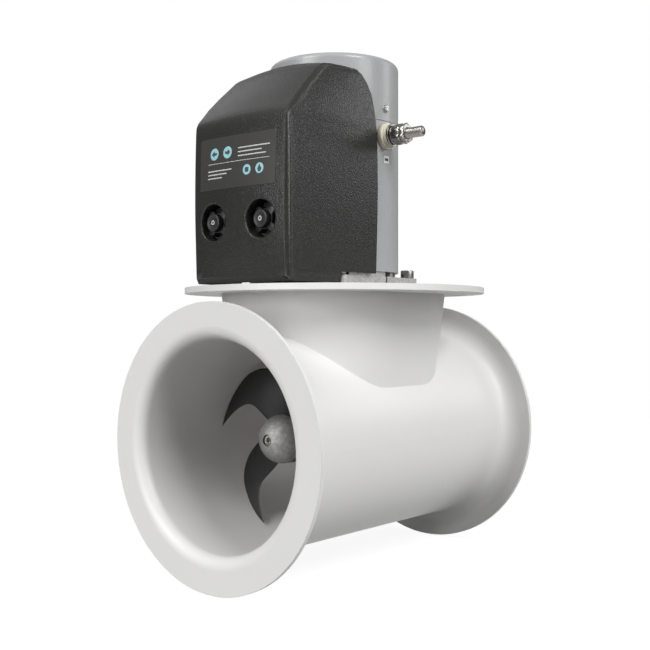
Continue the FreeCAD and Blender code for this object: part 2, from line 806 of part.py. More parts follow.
# ---------------------------------------------------------------------------------------------
# Elastic coupling between the motor shaft and the drive shaft
# ---------------------------------------------------------------------------------------------
def coupling():
    """Two hubs with three jaws each and a six-armed elastic spider between them."""
    outer, motor_bore, leg_bore = 20.0, size("shaft_outer"), size("leg_shaft")
    jaw_low, jaw_high = -8.0, 2.0
    jaw = sector(9, outer, jaw_low, jaw_high, 0, 19)
    upper = tube(outer, jaw_high, jaw_high + 15).cut(tube(motor_bore, 0, 20))
    lower = tube(outer, jaw_low - 14, jaw_low).cut(tube(leg_bore, jaw_low - 15, jaw_low + 1))
    solid_feature("coupling_upper_half", upper.fuse(all_round(jaw, 3)).removeSplitter())
    solid_feature("coupling_lower_half", lower.fuse(all_round(jaw, 3, 60)).removeSplitter())
    arm = sector(6.5, outer - 0.5, jaw_low + 0.2, jaw_high - 0.2, 30, 10.8)
    ring = tube(8.8, jaw_low + 0.2, jaw_high - 0.2).cut(tube(5.5, jaw_low, jaw_high))
    solid_feature("coupling_spider", ring.fuse(all_round(arm, 6)).removeSplitter())


coupling()


# ---------------------------------------------------------------------------------------------
# Gear leg
# ---------------------------------------------------------------------------------------------
def ellipse_wire(half_x, half_y, z):
    """A level ellipse with its half axes along X and Y."""
    if half_y > half_x:
        curve = Part.Ellipse(Vector(0, half_y, z), Vector(half_x, 0, z), Vector(0, 0, z))
    else:
        curve = Part.Ellipse(Vector(half_x, 0, z), Vector(0, half_y, z), Vector(0, 0, z))
    return Part.Wire([curve.toShape()])


def gear_leg():
    """The bronze casting: gear house, strut, saddle against the tunnel wall and stem."""
    drop, wall = size("tunnel_drop"), size("tunnel_bore")
    house = along_tunnel(tube(size("torpedo_outer"), -size("torpedo_front"), size("torpedo_rear")), 0)
    strut = Part.makeLoft(
        [
            ellipse_wire(14, 25, -drop),
            ellipse_wire(14, 25, -100),
            ellipse_wire(16, 29, -60),
            ellipse_wire(22, 35, -47),
        ],
        True,
    )
    column = Part.makeLoft([ellipse_wire(27, 46, -70), ellipse_wire(27, 46, -35)], True)
    shell = along_tunnel(tube(wall - 1.25, -60, 60).cut(tube(wall - 8.5, -61, 61)), 0)
    saddle = column.common(shell)
    stem = tube(size("stem_outer"), -60, -28)
    casting = house.fuse([strut, saddle, stem])
    shaft = size("leg_shaft")
    bores = [
        tube(16.05, -44.1, -27),
        tube(shaft + 2, -111, -40),
        tube(10.05, -107.1, -97),
        tube(12.8, -drop, -109.9),
        along_tunnel(tube(19.2, -17, size("torpedo_rear") + 1), 0),
        along_tunnel(tube(16.05, -28.1, -16), 0),
        along_tunnel(tube(13.05, -35, -28), 0),
    ]
    bolts = [tube(4.05, -50.6, -20, 0, side * LEG_BOLT_Y) for side in (-1, 1)]
    solid_feature("gear_leg", cut(casting, bores + bolts))
    seat = Part.makeLoft([ellipse_wire(26.5, 45.5, -70), ellipse_wire(26.5, 45.5, -35)], True)
    liner = along_tunnel(tube(wall - 0.05, -60, 60).cut(tube(wall - 1.2, -61, 61)), 0)
    holes = [tube(4.4, -60, -20, 0, side * LEG_BOLT_Y) for side in (-1, 1)]
    gasket = seat.common(liner).cut([tube(size("stem_outer") + 0.3, -60, -20)] + holes)
    solid_feature("leg_gasket", gasket)


gear_leg()
cap_screws("leg_bolts", "4", "6.4", "8", "17", 2, "29", z="-well_floor",
           turn=Rotation(Vector(0, 0, 1), 90))
turned(
    "leg_tail_cap",
    [
        ("0", "0"),
        ("11", "0"),
        ("13.05", "0"),
        ("13.05", "-9"),
        ("19.1", "-9"),
        ("19.1", "0.05"),
        ("torpedo_outer", "0.05"),
        ("torpedo_outer", "3"),
        ("10", "17", "26", -1),
        ("0", "18.5"),
    ],
    y="torpedo_rear",
    z="-tunnel_drop",
    turn=ALONG_Y,
)
turned("drive_shaft_seal", ring_corners("leg_shaft+0.05", "16", "-33.9", "-28"))
turned("propeller_shaft_seal", ring_corners("leg_shaft+0.05", "13", "-torpedo_front", "-28.1"),
       z="-tunnel_drop", turn=ALONG_Y)
turned("needle_bush", ring_corners("leg_shaft+0.05", "10", "-107", "-97"))


def bearing_parts(bore, outer, width, low):
    """A bearing's outer ring, inner ring and set of balls, as three shapes."""
    outer_ring, inner_ring, balls = bearing(bore, outer, width, low)
    return [outer_ring, inner_ring, Part.makeCompound(balls)]


def ball_bearings():
    """Two bearings on the motor shaft, one on the drive shaft, two on the propeller shaft."""
    motor_shaft, leg_shaft = size("shaft_outer"), size("leg_shaft")
    upright = [
        bearing_parts(motor_shaft, 16.0, 10, size(MOTOR_BOTTOM) + 2),
        bearing_parts(motor_shaft, 16.0, 10, size(MOTOR_TOP) - 15.9),
        bearing_parts(leg_shaft, 16.0, 10, -44.0),
    ]
    level = [
        bearing_parts(leg_shaft, 16.0, 10, -28.0),
        bearing_parts(leg_shaft, 13.0, 8, size("torpedo_rear") - 8.9),
    ]
    level = [[along_tunnel(piece, 0) for piece in parts] for parts in level]
    every = upright + level
    solid_feature("bearing_outer_rings", Part.makeCompound([parts[0] for parts in every]))
    solid_feature("drive_line_inner_rings", Part.makeCompound([parts[1] for parts in upright]))
    solid_feature("propeller_inner_rings", Part.makeCompound([parts[1] for parts in level]))
    solid_feature("bearing_balls", Part.makeCompound([parts[2] for parts in every]))


ball_bearings()

turned(
    "drive_shaft",
    [
        ("0", "-(tunnel_drop-12)"),
        ("leg_shaft", "-(tunnel_drop-12)"),
        ("leg_shaft", "-9"),
        ("0", "-9"),
    ],
)


def propeller_shaft():
    """The horizontal shaft: threaded front end, cross hole for the pin, hole for the anode screw."""
    body = new_body("propeller_shaft")
    corners = [
        ("0", "-61.5"),
        ("3.05", "-61.5"),
        ("3.05", "-72.8"),
        ("4.4", "-72.8"),
        ("5", "-72.2"),
        ("5", "-60"),
        ("leg_shaft", "-60"),
        ("leg_shaft", "torpedo_rear-1"),
        ("0", "torpedo_rear-1"),
    ]
    revolve(body, outline(new_sketch(body, "XZ_Plane"), corners))
    sketch = new_sketch(body, "YZ_Plane", "-20")
    circle(sketch, "3.03", "0", "-(hub_rear+3.5)")
    pocket(body, sketch, "40", up=True)
    return keep(place(body, z="-tunnel_drop", turn=ALONG_Y), "propeller_shaft")


propeller_shaft()


# ---------------------------------------------------------------------------------------------
# Bevel gears: straight teeth whose flanks all point at the crossing of the two axes
# ---------------------------------------------------------------------------------------------
PRESSURE = math.radians(22.5)
BACKLASH = 0.16


def involute(angle):
    """The involute function."""
    return math.tan(angle) - angle


def tooth_space(teeth, mate_teeth, module):
    """A pyramid with its point at the gear's apex that fills the space between two teeth."""
    cone = math.atan2(teeth, mate_teeth)
    distance = module * math.hypot(teeth, mate_teeth) / 2
    virtual = module * teeth / 2 / math.cos(cone)
    base = virtual * math.cos(PRESSURE)
    half_pitch = math.pi / (teeth / math.cos(cone))
    half_tooth = half_pitch / 2 - BACKLASH / (2 * virtual)
    flank = []
    for rise in (-1.05, -0.5, 0.0, 0.45, 0.8, 1.3):
        radius = virtual + rise * module
        roll = math.acos(min(1.0, base / max(radius, base)))
        thick = half_tooth + involute(PRESSURE) - involute(roll)
        gap = half_pitch - thick
        flank.append((radius * math.sin(gap), radius * math.cos(gap) - virtual))
    along = Vector(math.sin(cone), 0, math.cos(cone))
    outward = Vector(math.cos(cone), 0, -math.sin(cone))
    ring = [(-across, rise) for across, rise in flank] + list(reversed(flank))
    reach = 1.3
    points = [
        (along * distance + outward * rise + Vector(0, across, 0)) * reach for across, rise in ring
    ]
    apex = Vector(0, 0, 0)
    faces = [Part.Face(Part.makePolygon(points + points[:1]))]
    for index, point in enumerate(points):
        faces.append(Part.Face(Part.makePolygon([apex, points[index - 1], point, apex])))
    pyramid = Part.Solid(Part.Shell(faces))
    if pyramid.Volume < 0:
        pyramid.reverse()
    return pyramid


def bevel_gear(teeth, mate_teeth, bore, hub, back, start):
    """A straight bevel gear on Z with its apex at the origin and a tooth space at start."""
    module, face = size("gear_module"), size("gear_face")
    cone = math.atan2(teeth, mate_teeth)
    distance = module * math.hypot(teeth, mate_teeth) / 2
    inner = (distance - face) / distance

    def on_back_cone(rise):
        return Vector(
            distance * math.sin(cone) + rise * math.cos(cone),
            0,
            distance * math.cos(cone) - rise * math.sin(cone),
        )

    tip, root = on_back_cone(0.8 * module), on_back_cone(-1.05 * module - 0.9)
    small_root = on_back_cone(-1.05 * module) * inner
    corners = [
        tip,
        tip * inner,
        small_root,
        Vector(bore, 0, small_root.z),
        Vector(bore, 0, back),
        Vector(hub, 0, back),
        Vector(hub, 0, root.z),
        root,
    ]
    blank = Part.Face(Part.makePolygon(corners + corners[:1]))
    blank = blank.revolve(Vector(0, 0, 0), Vector(0, 0, 1), 360)
    blank = blank if blank.ShapeType == "Solid" else Part.Solid(blank.Shells[0])
    spaces = all_round(tooth_space(teeth, mate_teeth, module), teeth, start)
    return blank.cut(spaces)


def gears():
    """The pinion on the drive shaft and the wheel on the propeller shaft, in mesh."""
    drop, shaft = size("tunnel_drop"), size("leg_shaft")
    pinion_teeth, wheel_teeth = int(size("pinion_teeth")), int(size("wheel_teeth"))
    pinion = bevel_gear(pinion_teeth, wheel_teeth, shaft, 8.5, 24.2, 90 + 180 / pinion_teeth)
    pinion.translate(Vector(0, 0, -drop))
    wheel = bevel_gear(wheel_teeth, pinion_teeth, shaft, 11, 24.5, -90)
    solid_feature("bevel_pinion", pinion)
    solid_feature("bevel_wheel", along_tunnel(wheel, 0))


gears()


# ---------------------------------------------------------------------------------------------
# Propeller
# ---------------------------------------------------------------------------------------------
def edge_angle(table, radius):
    """The angle of a blade edge at a radius, from a few points along the edge."""
    for (r0, a0), (r1, a1) in zip(table, table[1:]):
        if radius <= r1:
            return a0 + (a1 - a0) * (radius - r0) / (r1 - r0)
    return table[-1][1]


# (radius, degrees behind the tip) along the two edges of the skewed blade
TRAILING = [(18, 19), (37, 20), (57, 23.5), (68, 22), (75, 17), (82, 9.5), (89.4, 1)]
LEADING = [(18, 61), (37, 68), (50, 66), (65, 59), (75, 53), (83, 44.5), (89.4, 37)]


def blade_section(radius, thickness, tip_angle):
    """A closed lens-shaped section of the blade, wrapped on a cylinder round the shaft."""
    rear, front = edge_angle(TRAILING, radius), edge_angle(LEADING, radius)
    lead, tip_y = size("blade_lead"), -size("tip_front")
    upper, lower = [], []
    for share in (0.0, 0.12, 0.35, 0.65, 0.88, 1.0):
        behind = rear + (front - rear) * share
        half = thickness / 2 * math.sqrt(max(0.0, 1 - (2 * share - 1) ** 2))
        angle = math.radians(tip_angle - behind)
        y = tip_y + lead * behind / 360
        for side, line in ((1, upper), (-1, lower)):
            if half > 1e-6 or side == 1:
                line.append(Vector(radius * math.cos(angle), y + side * half, radius * math.sin(angle)))
    back, face = Part.BSplineCurve(), Part.BSplineCurve()
    back.interpolate(upper)
    face.interpolate([upper[-1]] + list(reversed(lower)) + [upper[0]])
    return Part.Wire([back.toShape(), face.toShape()])


def propeller():
    """The hub with its five skewed blades, a shaft bore, a nut recess and a pin slot."""
    drop, hub = size("tunnel_drop"), size("hub_outer")
    tip = size("blade_tip")
    sections = [
        blade_section(radius, thickness, 178)
        for radius, thickness in (
            (18.0, 7.0), (30.0, 6.0), (42.0, 5.2), (54.0, 4.4),
            (66.0, 3.6), (76.0, 3.0), (84.0, 2.4), (tip, 1.8),
        )
    ]
    skin = Part.makeLoft(sections, False, False)
    ends = [Part.makeFilledFace(section.Edges) for section in (sections[0], sections[-1])]
    closed = Part.makeShell(skin.Faces + ends)
    closed.sewShape()
    blade = Part.Solid(closed)
    body = tube(hub, -size("hub_front"), -size("hub_rear"))
    body = along_tunnel(body, 0)
    blades = []
    for step in range(int(size("blade_count"))):
        copy = blade.copy()
        copy.rotate(Vector(0, 0, 0), Vector(0, 1, 0), 72 * step)
        copy.translate(Vector(0, 0, -drop))
        blades.append(copy)
    bore = along_tunnel(tube(size("leg_shaft") + 0.02, -80, -30), 0)
    recess = along_tunnel(tube(12.5, -size("hub_front") - 1, -63), 0)
    slot = Part.makeBox(37, 7.5, 6.1, Vector(-18.5, -size("hub_rear") - 6.5, -drop - 3.05))
    solid_feature("propeller", cut(body.fuse(blades), [bore, recess, slot]))


propeller()
pin = doc.addObject("Part::Cylinder", "Pin")
pin.Radius = 3.0
pin.Height = 36.0
pin.Placement = Placement(Vector(-18, 0, 0), ALONG_X)
pin.setExpression("Placement.Base.z", bound("-tunnel_drop"))
pin.setExpression("Placement.Base.y", bound("-(hub_rear+3.5)"))
keep(pin, "propeller_pin")
turned("propeller_washer", ring_corners("5.1", "11", "-64.6", "-63"), z="-tunnel_drop", turn=ALONG_Y)


def propeller_nut():
    """The self-locking hexagon nut in the hub's recess."""
    body = new_body("propeller_nut")
    hex_nut_or_head(body, "17", "7.5", "-72.1", "5.05")
    return keep(place(body, z="-tunnel_drop", turn=ALONG_Y), "propeller_nut")


propeller_nut()
turned(
    "anode",
    [
        ("3.2", "-hub_front-0.05"),
        ("3.2", "-87"),
        ("5.4", "-87"),
        ("5.4", "-(hub_front+21.6)"),
        ("hub_outer", "-hub_front-0.05", "hub_outer", -1),
    ],
    z="-tunnel_drop",
    turn=ALONG_Y,
)
cap_screws("anode_screw", "3", "5", "4.2", "24", 1, "0", y="-87", z="-tunnel_drop", turn=ALONG_MINUS_Y)


# ---------------------------------------------------------------------------------------------
# Control gear cover
# ---------------------------------------------------------------------------------------------
def cover_form(inset, bottom):
    """The cover's solid form, smaller by inset on every outer side: plan, roof and side
    profile are made apart, and the form is what all three hold."""
    front, crease = size("cover_front"), size("cover_crease")
    half_front = size("cover_half_front") - inset
    half_bevel, half_rear = size("cover_half_bevel") - inset, size("cover_half_rear") - inset
    lean = math.tan(math.radians(size("cover_lean")))

    def plan(z, shrink):
        corners = [
            (half_front - shrink, -front - 3.4 + inset),
            (half_bevel - shrink, -front + 7 + inset * 0.6),
            (half_rear - shrink, -size("cover_rear")),
            (half_rear - shrink, 20),
        ]
        ring = corners + [(-x, y) for x, y in reversed(corners)]
        points = [Vector(x, y, z) for x, y in ring]
        return Part.makePolygon(points + points[:1])

    lower = Part.Face(plan(0, 0)).extrude(Vector(0, 0, crease))
    top = 230.0
    upper = Part.makeLoft([plan(crease, 0), plan(top, (top - crease) * lean)], True, True)
    plan_form = lower.fuse(upper)

    def arch(y, crown_height, rise):
        wide = 80.0
        edge = crown_height - rise * (wide / 55) ** 2
        left, right = Vector(-wide, y, edge - inset), Vector(wide, y, edge - inset)
        middle = Vector(0, y, crown_height - inset)
        low_left, low_right = Vector(-wide, y, -10), Vector(wide, y, -10)
        return Part.Wire(
            [
                Part.Arc(left, middle, right).toShape(),
                Part.LineSegment(right, low_right).toShape(),
                Part.LineSegment(low_right, low_left).toShape(),
                Part.LineSegment(low_left, left).toShape(),
            ]
        )

    roof = Part.makeLoft(
        [
            arch(-front - 10, crease - 10.5, 0.3),
            arch(-front + 1 + inset * 0.4, crease + 0.5, 0.6),
            arch(-117, 169, 2.2),
            arch(-102, 187, 4.2),
            arch(-85, 202, 5.8),
            arch(-66, 210.5, 6.8),
            arch(-38, 212.5, 7.2),
            arch(25, 213.5, 7.4),
        ],
        True,
    )
    side = [
        Vector(0, -size("cover_rear"), bottom + 10),
        Vector(0, -65, bottom + 10),
        Vector(0, -65, bottom),
        Vector(0, -front + 7 + inset, bottom),
        Vector(0, -front + 1 + inset, bottom + 9),
    ]
    upper_side = [
        Vector(0, -front + 1 + inset, crease + 1),
        Vector(0, -front + 1 + inset, 240),
        Vector(0, -36, 240),
        Vector(0, -37.6, 205),
        Vector(0, -33, 189),
        Vector(0, -24, 175),
        Vector(0, -18, 164),
        Vector(0, -size("cover_rear"), 149),
    ]
    edges = [Part.LineSegment(a, b).toShape() for a, b in zip(side, side[1:])]
    bulge = Vector(0, -front - 3.2 + inset, crease / 2)
    edges.append(Part.Arc(side[-1], bulge, upper_side[0]).toShape())
    edges += [Part.LineSegment(a, b).toShape() for a, b in zip(upper_side, upper_side[1:])]
    edges.append(Part.LineSegment(upper_side[-1], side[0]).toShape())
    side_form = Part.Face(Part.Wire(edges)).extrude(Vector(180, 0, 0))
    side_form.translate(Vector(-90, 0, 0))
    return plan_form.common(roof).common(side_form)


def knob_places():
    """Centres of the two cover knobs, on the front of the cover."""
    half = size("knob_spacing") / 2
    return [(-half, size("knob_height")), (half, size("knob_height"))]


def cover():
    """The moulded cover: outer form less inner form, hollowed for the motor and the knobs."""
    front = size("cover_front")
    outer = cover_form(0.0, 7.6)
    inner = cover_form(size("cover_wall"), -20.0)
    motor = tube(size("motor_outer") + 0.8, -10, 240)
    shell = outer.cut([inner, motor])
    pots, hollows = [], []
    for x, z in knob_places():
        base = Vector(x, -front + 13, z)
        ahead = Vector(0, -1, 0)
        pots.append(Part.makeCylinder(19.2, 12, base, ahead))
        hollows.append(Part.makeCylinder(17.0, 30, base - Vector(0, 2.2, 0), ahead))
        hollows.append(Part.makeCylinder(4.5, 10, base + Vector(0, 4, 0), ahead))
    shell = shell.fuse(pots).cut(hollows)
    solids = sorted(shell.Solids, key=lambda solid: solid.Volume)
    return solid_feature("control_cover", solids[-1].removeSplitter())


cover()


def knobs():
    """Two four-lobed quarter-turn knobs, each with its stud, and the posts they lock into."""
    front = size("cover_front")
    outer = size("knob_outer")
    lobe = 4.5
    ahead = Vector(0, -1, 0)
    posts = []
    for side, (x, z) in zip(("left", "right"), knob_places()):
        base = Vector(x, -front + 10.4, z)
        disc = Part.makeCylinder(outer - 3, 6, base, ahead)
        cap = Part.makeCylinder(8.3, 11.5, base, ahead)
        lobes = []
        for angle in (45, 135, 225, 315):
            turn = math.radians(angle)
            spot = base + Vector(math.cos(turn), 0, math.sin(turn)) * (outer - lobe)
            lobes.append(Part.makeCylinder(lobe, 8.5, spot, ahead))
        knob = disc.fuse([cap] + lobes).removeSplitter()
        stud = Part.makeCylinder(4.0, 15, base + Vector(0, 15, 0), ahead)
        cross = Part.makeBox(12, 3, 3, Vector(x - 6, -front + 21.9, z - 1.5))
        stud = stud.fuse(cross).removeSplitter()
        solid_feature(side + "_knob", knob)
        solid_feature(side + "_knob_stud", stud)
        post = Part.makeCylinder(9, 44, Vector(x, -69, z), ahead)
        chamber = Part.makeCylinder(6.6, 20, Vector(x, -front + 27, z), ahead)
        posts.append(post.cut(chamber))
    solid_feature("cover_posts", Part.makeCompound(posts))


knobs()


# ---------------------------------------------------------------------------------------------
# Control gear under the cover
# ---------------------------------------------------------------------------------------------
def control_gear():
    """Sheet plate on the motor, two contactors with bus bars, control unit and fuse."""
    plate = Part.makeBox(100, 2, 160, Vector(-50, -69, 22))
    plate = plate.makeFillet(6, [e for e in plate.Edges if abs(e.tangentAt(e.FirstParameter).y) > 0.9])
    pads = [Part.makeBox(30, 9, 12, Vector(-15, -67, z)) for z in (40, 130)]
    plate = plate.fuse(pads).cut(tube(size("motor_outer") + 0.05, 0, 230))
    solid_feature("contactor_plate", plate.removeSplitter())
    cases, studs, heads = [], [], []
    for x in (-26, 26):
        case = Part.makeBox(42, 36, 62, Vector(x - 21, -105, 98))
        upright = [e for e in case.Edges if abs(e.tangentAt(e.FirstParameter).z) > 0.9]
        case = case.makeFillet(5, upright)
        foot = Part.makeBox(42, 4, 66, Vector(x - 21, -73, 94))
        cases.append(case.fuse(foot).removeSplitter())
        for y in (-78, -96):
            studs.append(tube(4, 160, 174, x, y))
            heads.append(hexagon_prism(6.5, 165, 171, x, y).cut(tube(4.05, 150, 190, x, y)))
    solid_feature("contactor_cases", Part.makeCompound(cases))
    solid_feature("contactor_studs", Part.makeCompound(studs))
    solid_feature("contactor_nuts", Part.makeCompound(heads))
    bars = []
    for y in (-78, -96):
        bar = Part.makeBox(68, 14, 3, Vector(-34, y - 7, 162))
        bars.append(bar.cut([tube(4.05, 150, 190, x, y) for x in (-26, 26)]))
    solid_feature("bus_bars", Part.makeCompound(bars))
    unit = Part.makeBox(84, 28, 36, Vector(-42, -97.2, 14.4))
    unit = unit.makeFillet(3, unit.Edges)
    solid_feature("control_unit", unit)
    ahead = Vector(0, -1, 0)
    socket = Part.makeCylinder(8, 12, Vector(0, -97.25, 30), ahead)
    hollow = Part.makeCylinder(6, 10, Vector(0, -99.5, 30), ahead)
    solid_feature("control_socket", socket.cut(hollow))
    fuse = Part.makeBox(18, 12, 10, Vector(-9, -81.2, 66))
    solid_feature("control_fuse", fuse)


def hexagon_prism(half_flats, low, high, x, y):
    """An upright hexagonal prism."""
    radius = half_flats * 2 / math.sqrt(3)
    corner = Vector(radius, 0, 0)
    turns = [Rotation(Vector(0, 0, 1), 60 * step) for step in range(6)]
    points = [turn.multVec(corner) + Vector(x, y, low) for turn in turns]
    return Part.Face(Part.makePolygon(points + points[:1])).extrude(Vector(0, 0, high - low))


control_gear()


# ---------------------------------------------------------------------------------------------
# Checks and export
# ---------------------------------------------------------------------------------------------
def finish():
    """Check every object and every sub-part, then write one file for each sub-part."""
    doc.recompute()
    for item in doc.Objects:
        if "Invalid" in item.State or "Error" in item.State:
            raise RuntimeError("%s (%s) failed" % (item.Name, item.Label))
    for piece in PIECES:
        shape = piece.Shape
        if shape.isNull() or not shape.isValid() or not shape.Solids:
            raise RuntimeError("%s has no valid solid" % piece.Label)
    os.makedirs("parts", exist_ok=True)
    for piece in PIECES:
        piece.Shape.exportStep(os.path.join("parts", piece.Label + ".step"))
    print("wrote %d sub-parts" % len(PIECES))


finish()
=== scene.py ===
"""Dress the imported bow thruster: finishes, moulded cover, hardware, propeller, stage and lights."""

import json
import logging
import math
from dataclasses import dataclass
from enum import Enum
from typing import Callable, Iterable, Optional, Sequence, Union

import bmesh
import bpy
from mathutils import Matrix, Vector


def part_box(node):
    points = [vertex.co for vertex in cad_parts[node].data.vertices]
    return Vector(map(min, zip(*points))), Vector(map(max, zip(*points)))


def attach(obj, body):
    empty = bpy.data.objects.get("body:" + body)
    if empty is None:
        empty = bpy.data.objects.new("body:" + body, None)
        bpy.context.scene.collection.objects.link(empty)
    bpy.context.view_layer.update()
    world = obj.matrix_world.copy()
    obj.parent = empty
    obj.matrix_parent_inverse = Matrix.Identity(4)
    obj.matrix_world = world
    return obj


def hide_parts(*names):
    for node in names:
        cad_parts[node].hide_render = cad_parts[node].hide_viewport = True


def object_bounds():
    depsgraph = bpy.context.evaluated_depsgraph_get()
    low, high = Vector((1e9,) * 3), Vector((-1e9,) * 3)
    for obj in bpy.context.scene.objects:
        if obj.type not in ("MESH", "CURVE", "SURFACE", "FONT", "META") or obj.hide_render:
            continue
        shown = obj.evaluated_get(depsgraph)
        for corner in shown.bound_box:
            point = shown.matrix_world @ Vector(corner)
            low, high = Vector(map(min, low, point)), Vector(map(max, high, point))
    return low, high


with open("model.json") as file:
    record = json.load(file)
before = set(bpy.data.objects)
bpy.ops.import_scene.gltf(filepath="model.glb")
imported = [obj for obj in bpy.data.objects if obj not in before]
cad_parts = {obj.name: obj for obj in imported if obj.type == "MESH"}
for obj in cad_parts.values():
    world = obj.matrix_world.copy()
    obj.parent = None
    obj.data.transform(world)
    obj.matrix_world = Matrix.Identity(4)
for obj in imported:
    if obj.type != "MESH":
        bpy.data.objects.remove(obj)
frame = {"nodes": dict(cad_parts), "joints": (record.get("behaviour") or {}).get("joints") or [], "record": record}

LOG = logging.getLogger("bow_thruster")
MM = 0.001
CAD_LOW, CAD_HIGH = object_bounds()
JOINTS = {joint["name"]: joint for joint in frame["joints"]}
TUNNEL_Z: float = JOINTS["propeller_spin"]["pos_m"][2]

Point = tuple[float, float, float]
Pair = tuple[float, float]
Colour = tuple[float, float, float]
Shape = Callable[[float, float, float], float]
WHITE = (1.0, 1.0, 1.0, 1.0)


class Body(str, Enum):
    """The bodies of the frame: the housing and what moves in it."""

    HOUSING = "housing"
    DRIVE = "drive_line"
    PROPELLER = "propeller_group"
    LEFT_KNOB = "left_knob_body"
    RIGHT_KNOB = "right_knob_body"


class Coat(Enum):
    """How a painted or moulded surface is broken up at a fine scale."""

    SMOOTH = "smooth"
    ORANGE_PEEL = "orange peel"
    LEATHER = "leather grain"
    SANDED = "sanded"


# ------------------------------------------------------------------------------------------
# Shader graphs
# ------------------------------------------------------------------------------------------
class Channel:
    """An output socket of a shader graph that takes part in Python arithmetic."""

    def __init__(self, graph: "Graph", socket: bpy.types.NodeSocket) -> None:
        """Wrap a socket.

        Args:
            graph: the graph that the socket belongs to.
            socket: the output socket.
        """
        self.graph = graph
        self.socket = socket

    def _with(self, operation: str, first: "Value", second: "Value") -> "Channel":
        """Join two values by a Math node."""
        return self.graph.out("ShaderNodeMath", {"operation": operation}, {0: first, 1: second})

    def __add__(self, other: "Value") -> "Channel":
        """self + other."""
        return self._with("ADD", self, other)

    def __radd__(self, other: "Value") -> "Channel":
        """other + self."""
        return self._with("ADD", other, self)

    def __sub__(self, other: "Value") -> "Channel":
        """self - other."""
        return self._with("SUBTRACT", self, other)

    def __rsub__(self, other: "Value") -> "Channel":
        """other - self."""
        return self._with("SUBTRACT", other, self)

    def __mul__(self, other: "Value") -> "Channel":
        """self * other."""
        return self._with("MULTIPLY", self, other)

    def __rmul__(self, other: "Value") -> "Channel":
        """other * self."""
        return self._with("MULTIPLY", other, self)

    def ramp(self, low: float, high: float) -> "Channel":
        """Rescale low..high to 0..1, with a soft shoulder at both ends.

        Args:
            low: the value that becomes 0.
            high: the value that becomes 1.

        Returns:
            The rescaled channel.
        """
        return self.graph.out(
            "ShaderNodeMapRange",
            {"interpolation_type": "SMOOTHSTEP"},
            {"Value": self, "From Min": low, "From Max": high},
        )

    def blend(self, dark: Colour, light: Colour) -> "Channel":
        """Mix two colours, with this channel as the factor.

        Args:
            dark: the colour at 0.
            light: the colour at 1.

        Returns:
            A colour channel.
        """
        return self.graph.out(
            "ShaderNodeMix",
            {"data_type": "RGBA"},
            {0: self, 6: (*dark, 1.0), 7: (*light, 1.0)},
            2,
        )


Value = Union[Channel, float, Sequence[float]]


class Graph:
    """A node tree and the calls that fill it."""

    def __init__(self, tree: bpy.types.NodeTree) -> None:
        """Start from an empty tree.

        Args:
            tree: the node tree of a material or a world.
        """
        self.tree = tree
        self.tree.nodes.clear()

    def node(
        self,
        kind: str,
        settings: Optional[dict[str, object]] = None,
        inputs: Optional[dict[Union[int, str], Value]] = None,
    ) -> bpy.types.Node:
        """Add a node.

        Args:
            kind: the node's type.
            settings: its properties, which are set first.
            inputs: values or links for its sockets, by name or number.

        Returns:
            The new node.
        """
        made = self.tree.nodes.new(kind)
        for name, value in (settings or {}).items():
            setattr(made, name, value)
        for name, value in (inputs or {}).items():
            self.feed(made.inputs[name], value)
        return made

    def out(
        self,
        kind: str,
        settings: Optional[dict[str, object]] = None,
        inputs: Optional[dict[Union[int, str], Value]] = None,
        output: Union[int, str] = 0,
    ) -> Channel:
        """Add a node and give one of its outputs as a channel."""
        return Channel(self, self.node(kind, settings, inputs).outputs[output])

    def feed(self, socket: bpy.types.NodeSocket, value: Value) -> None:
        """Give a socket its value.

        Args:
            socket: an input socket.
            value: a channel to link, or the socket's own value.
        """
        if isinstance(value, Channel):
            self.tree.links.new(value.socket, socket)
        else:
            socket.default_value = value


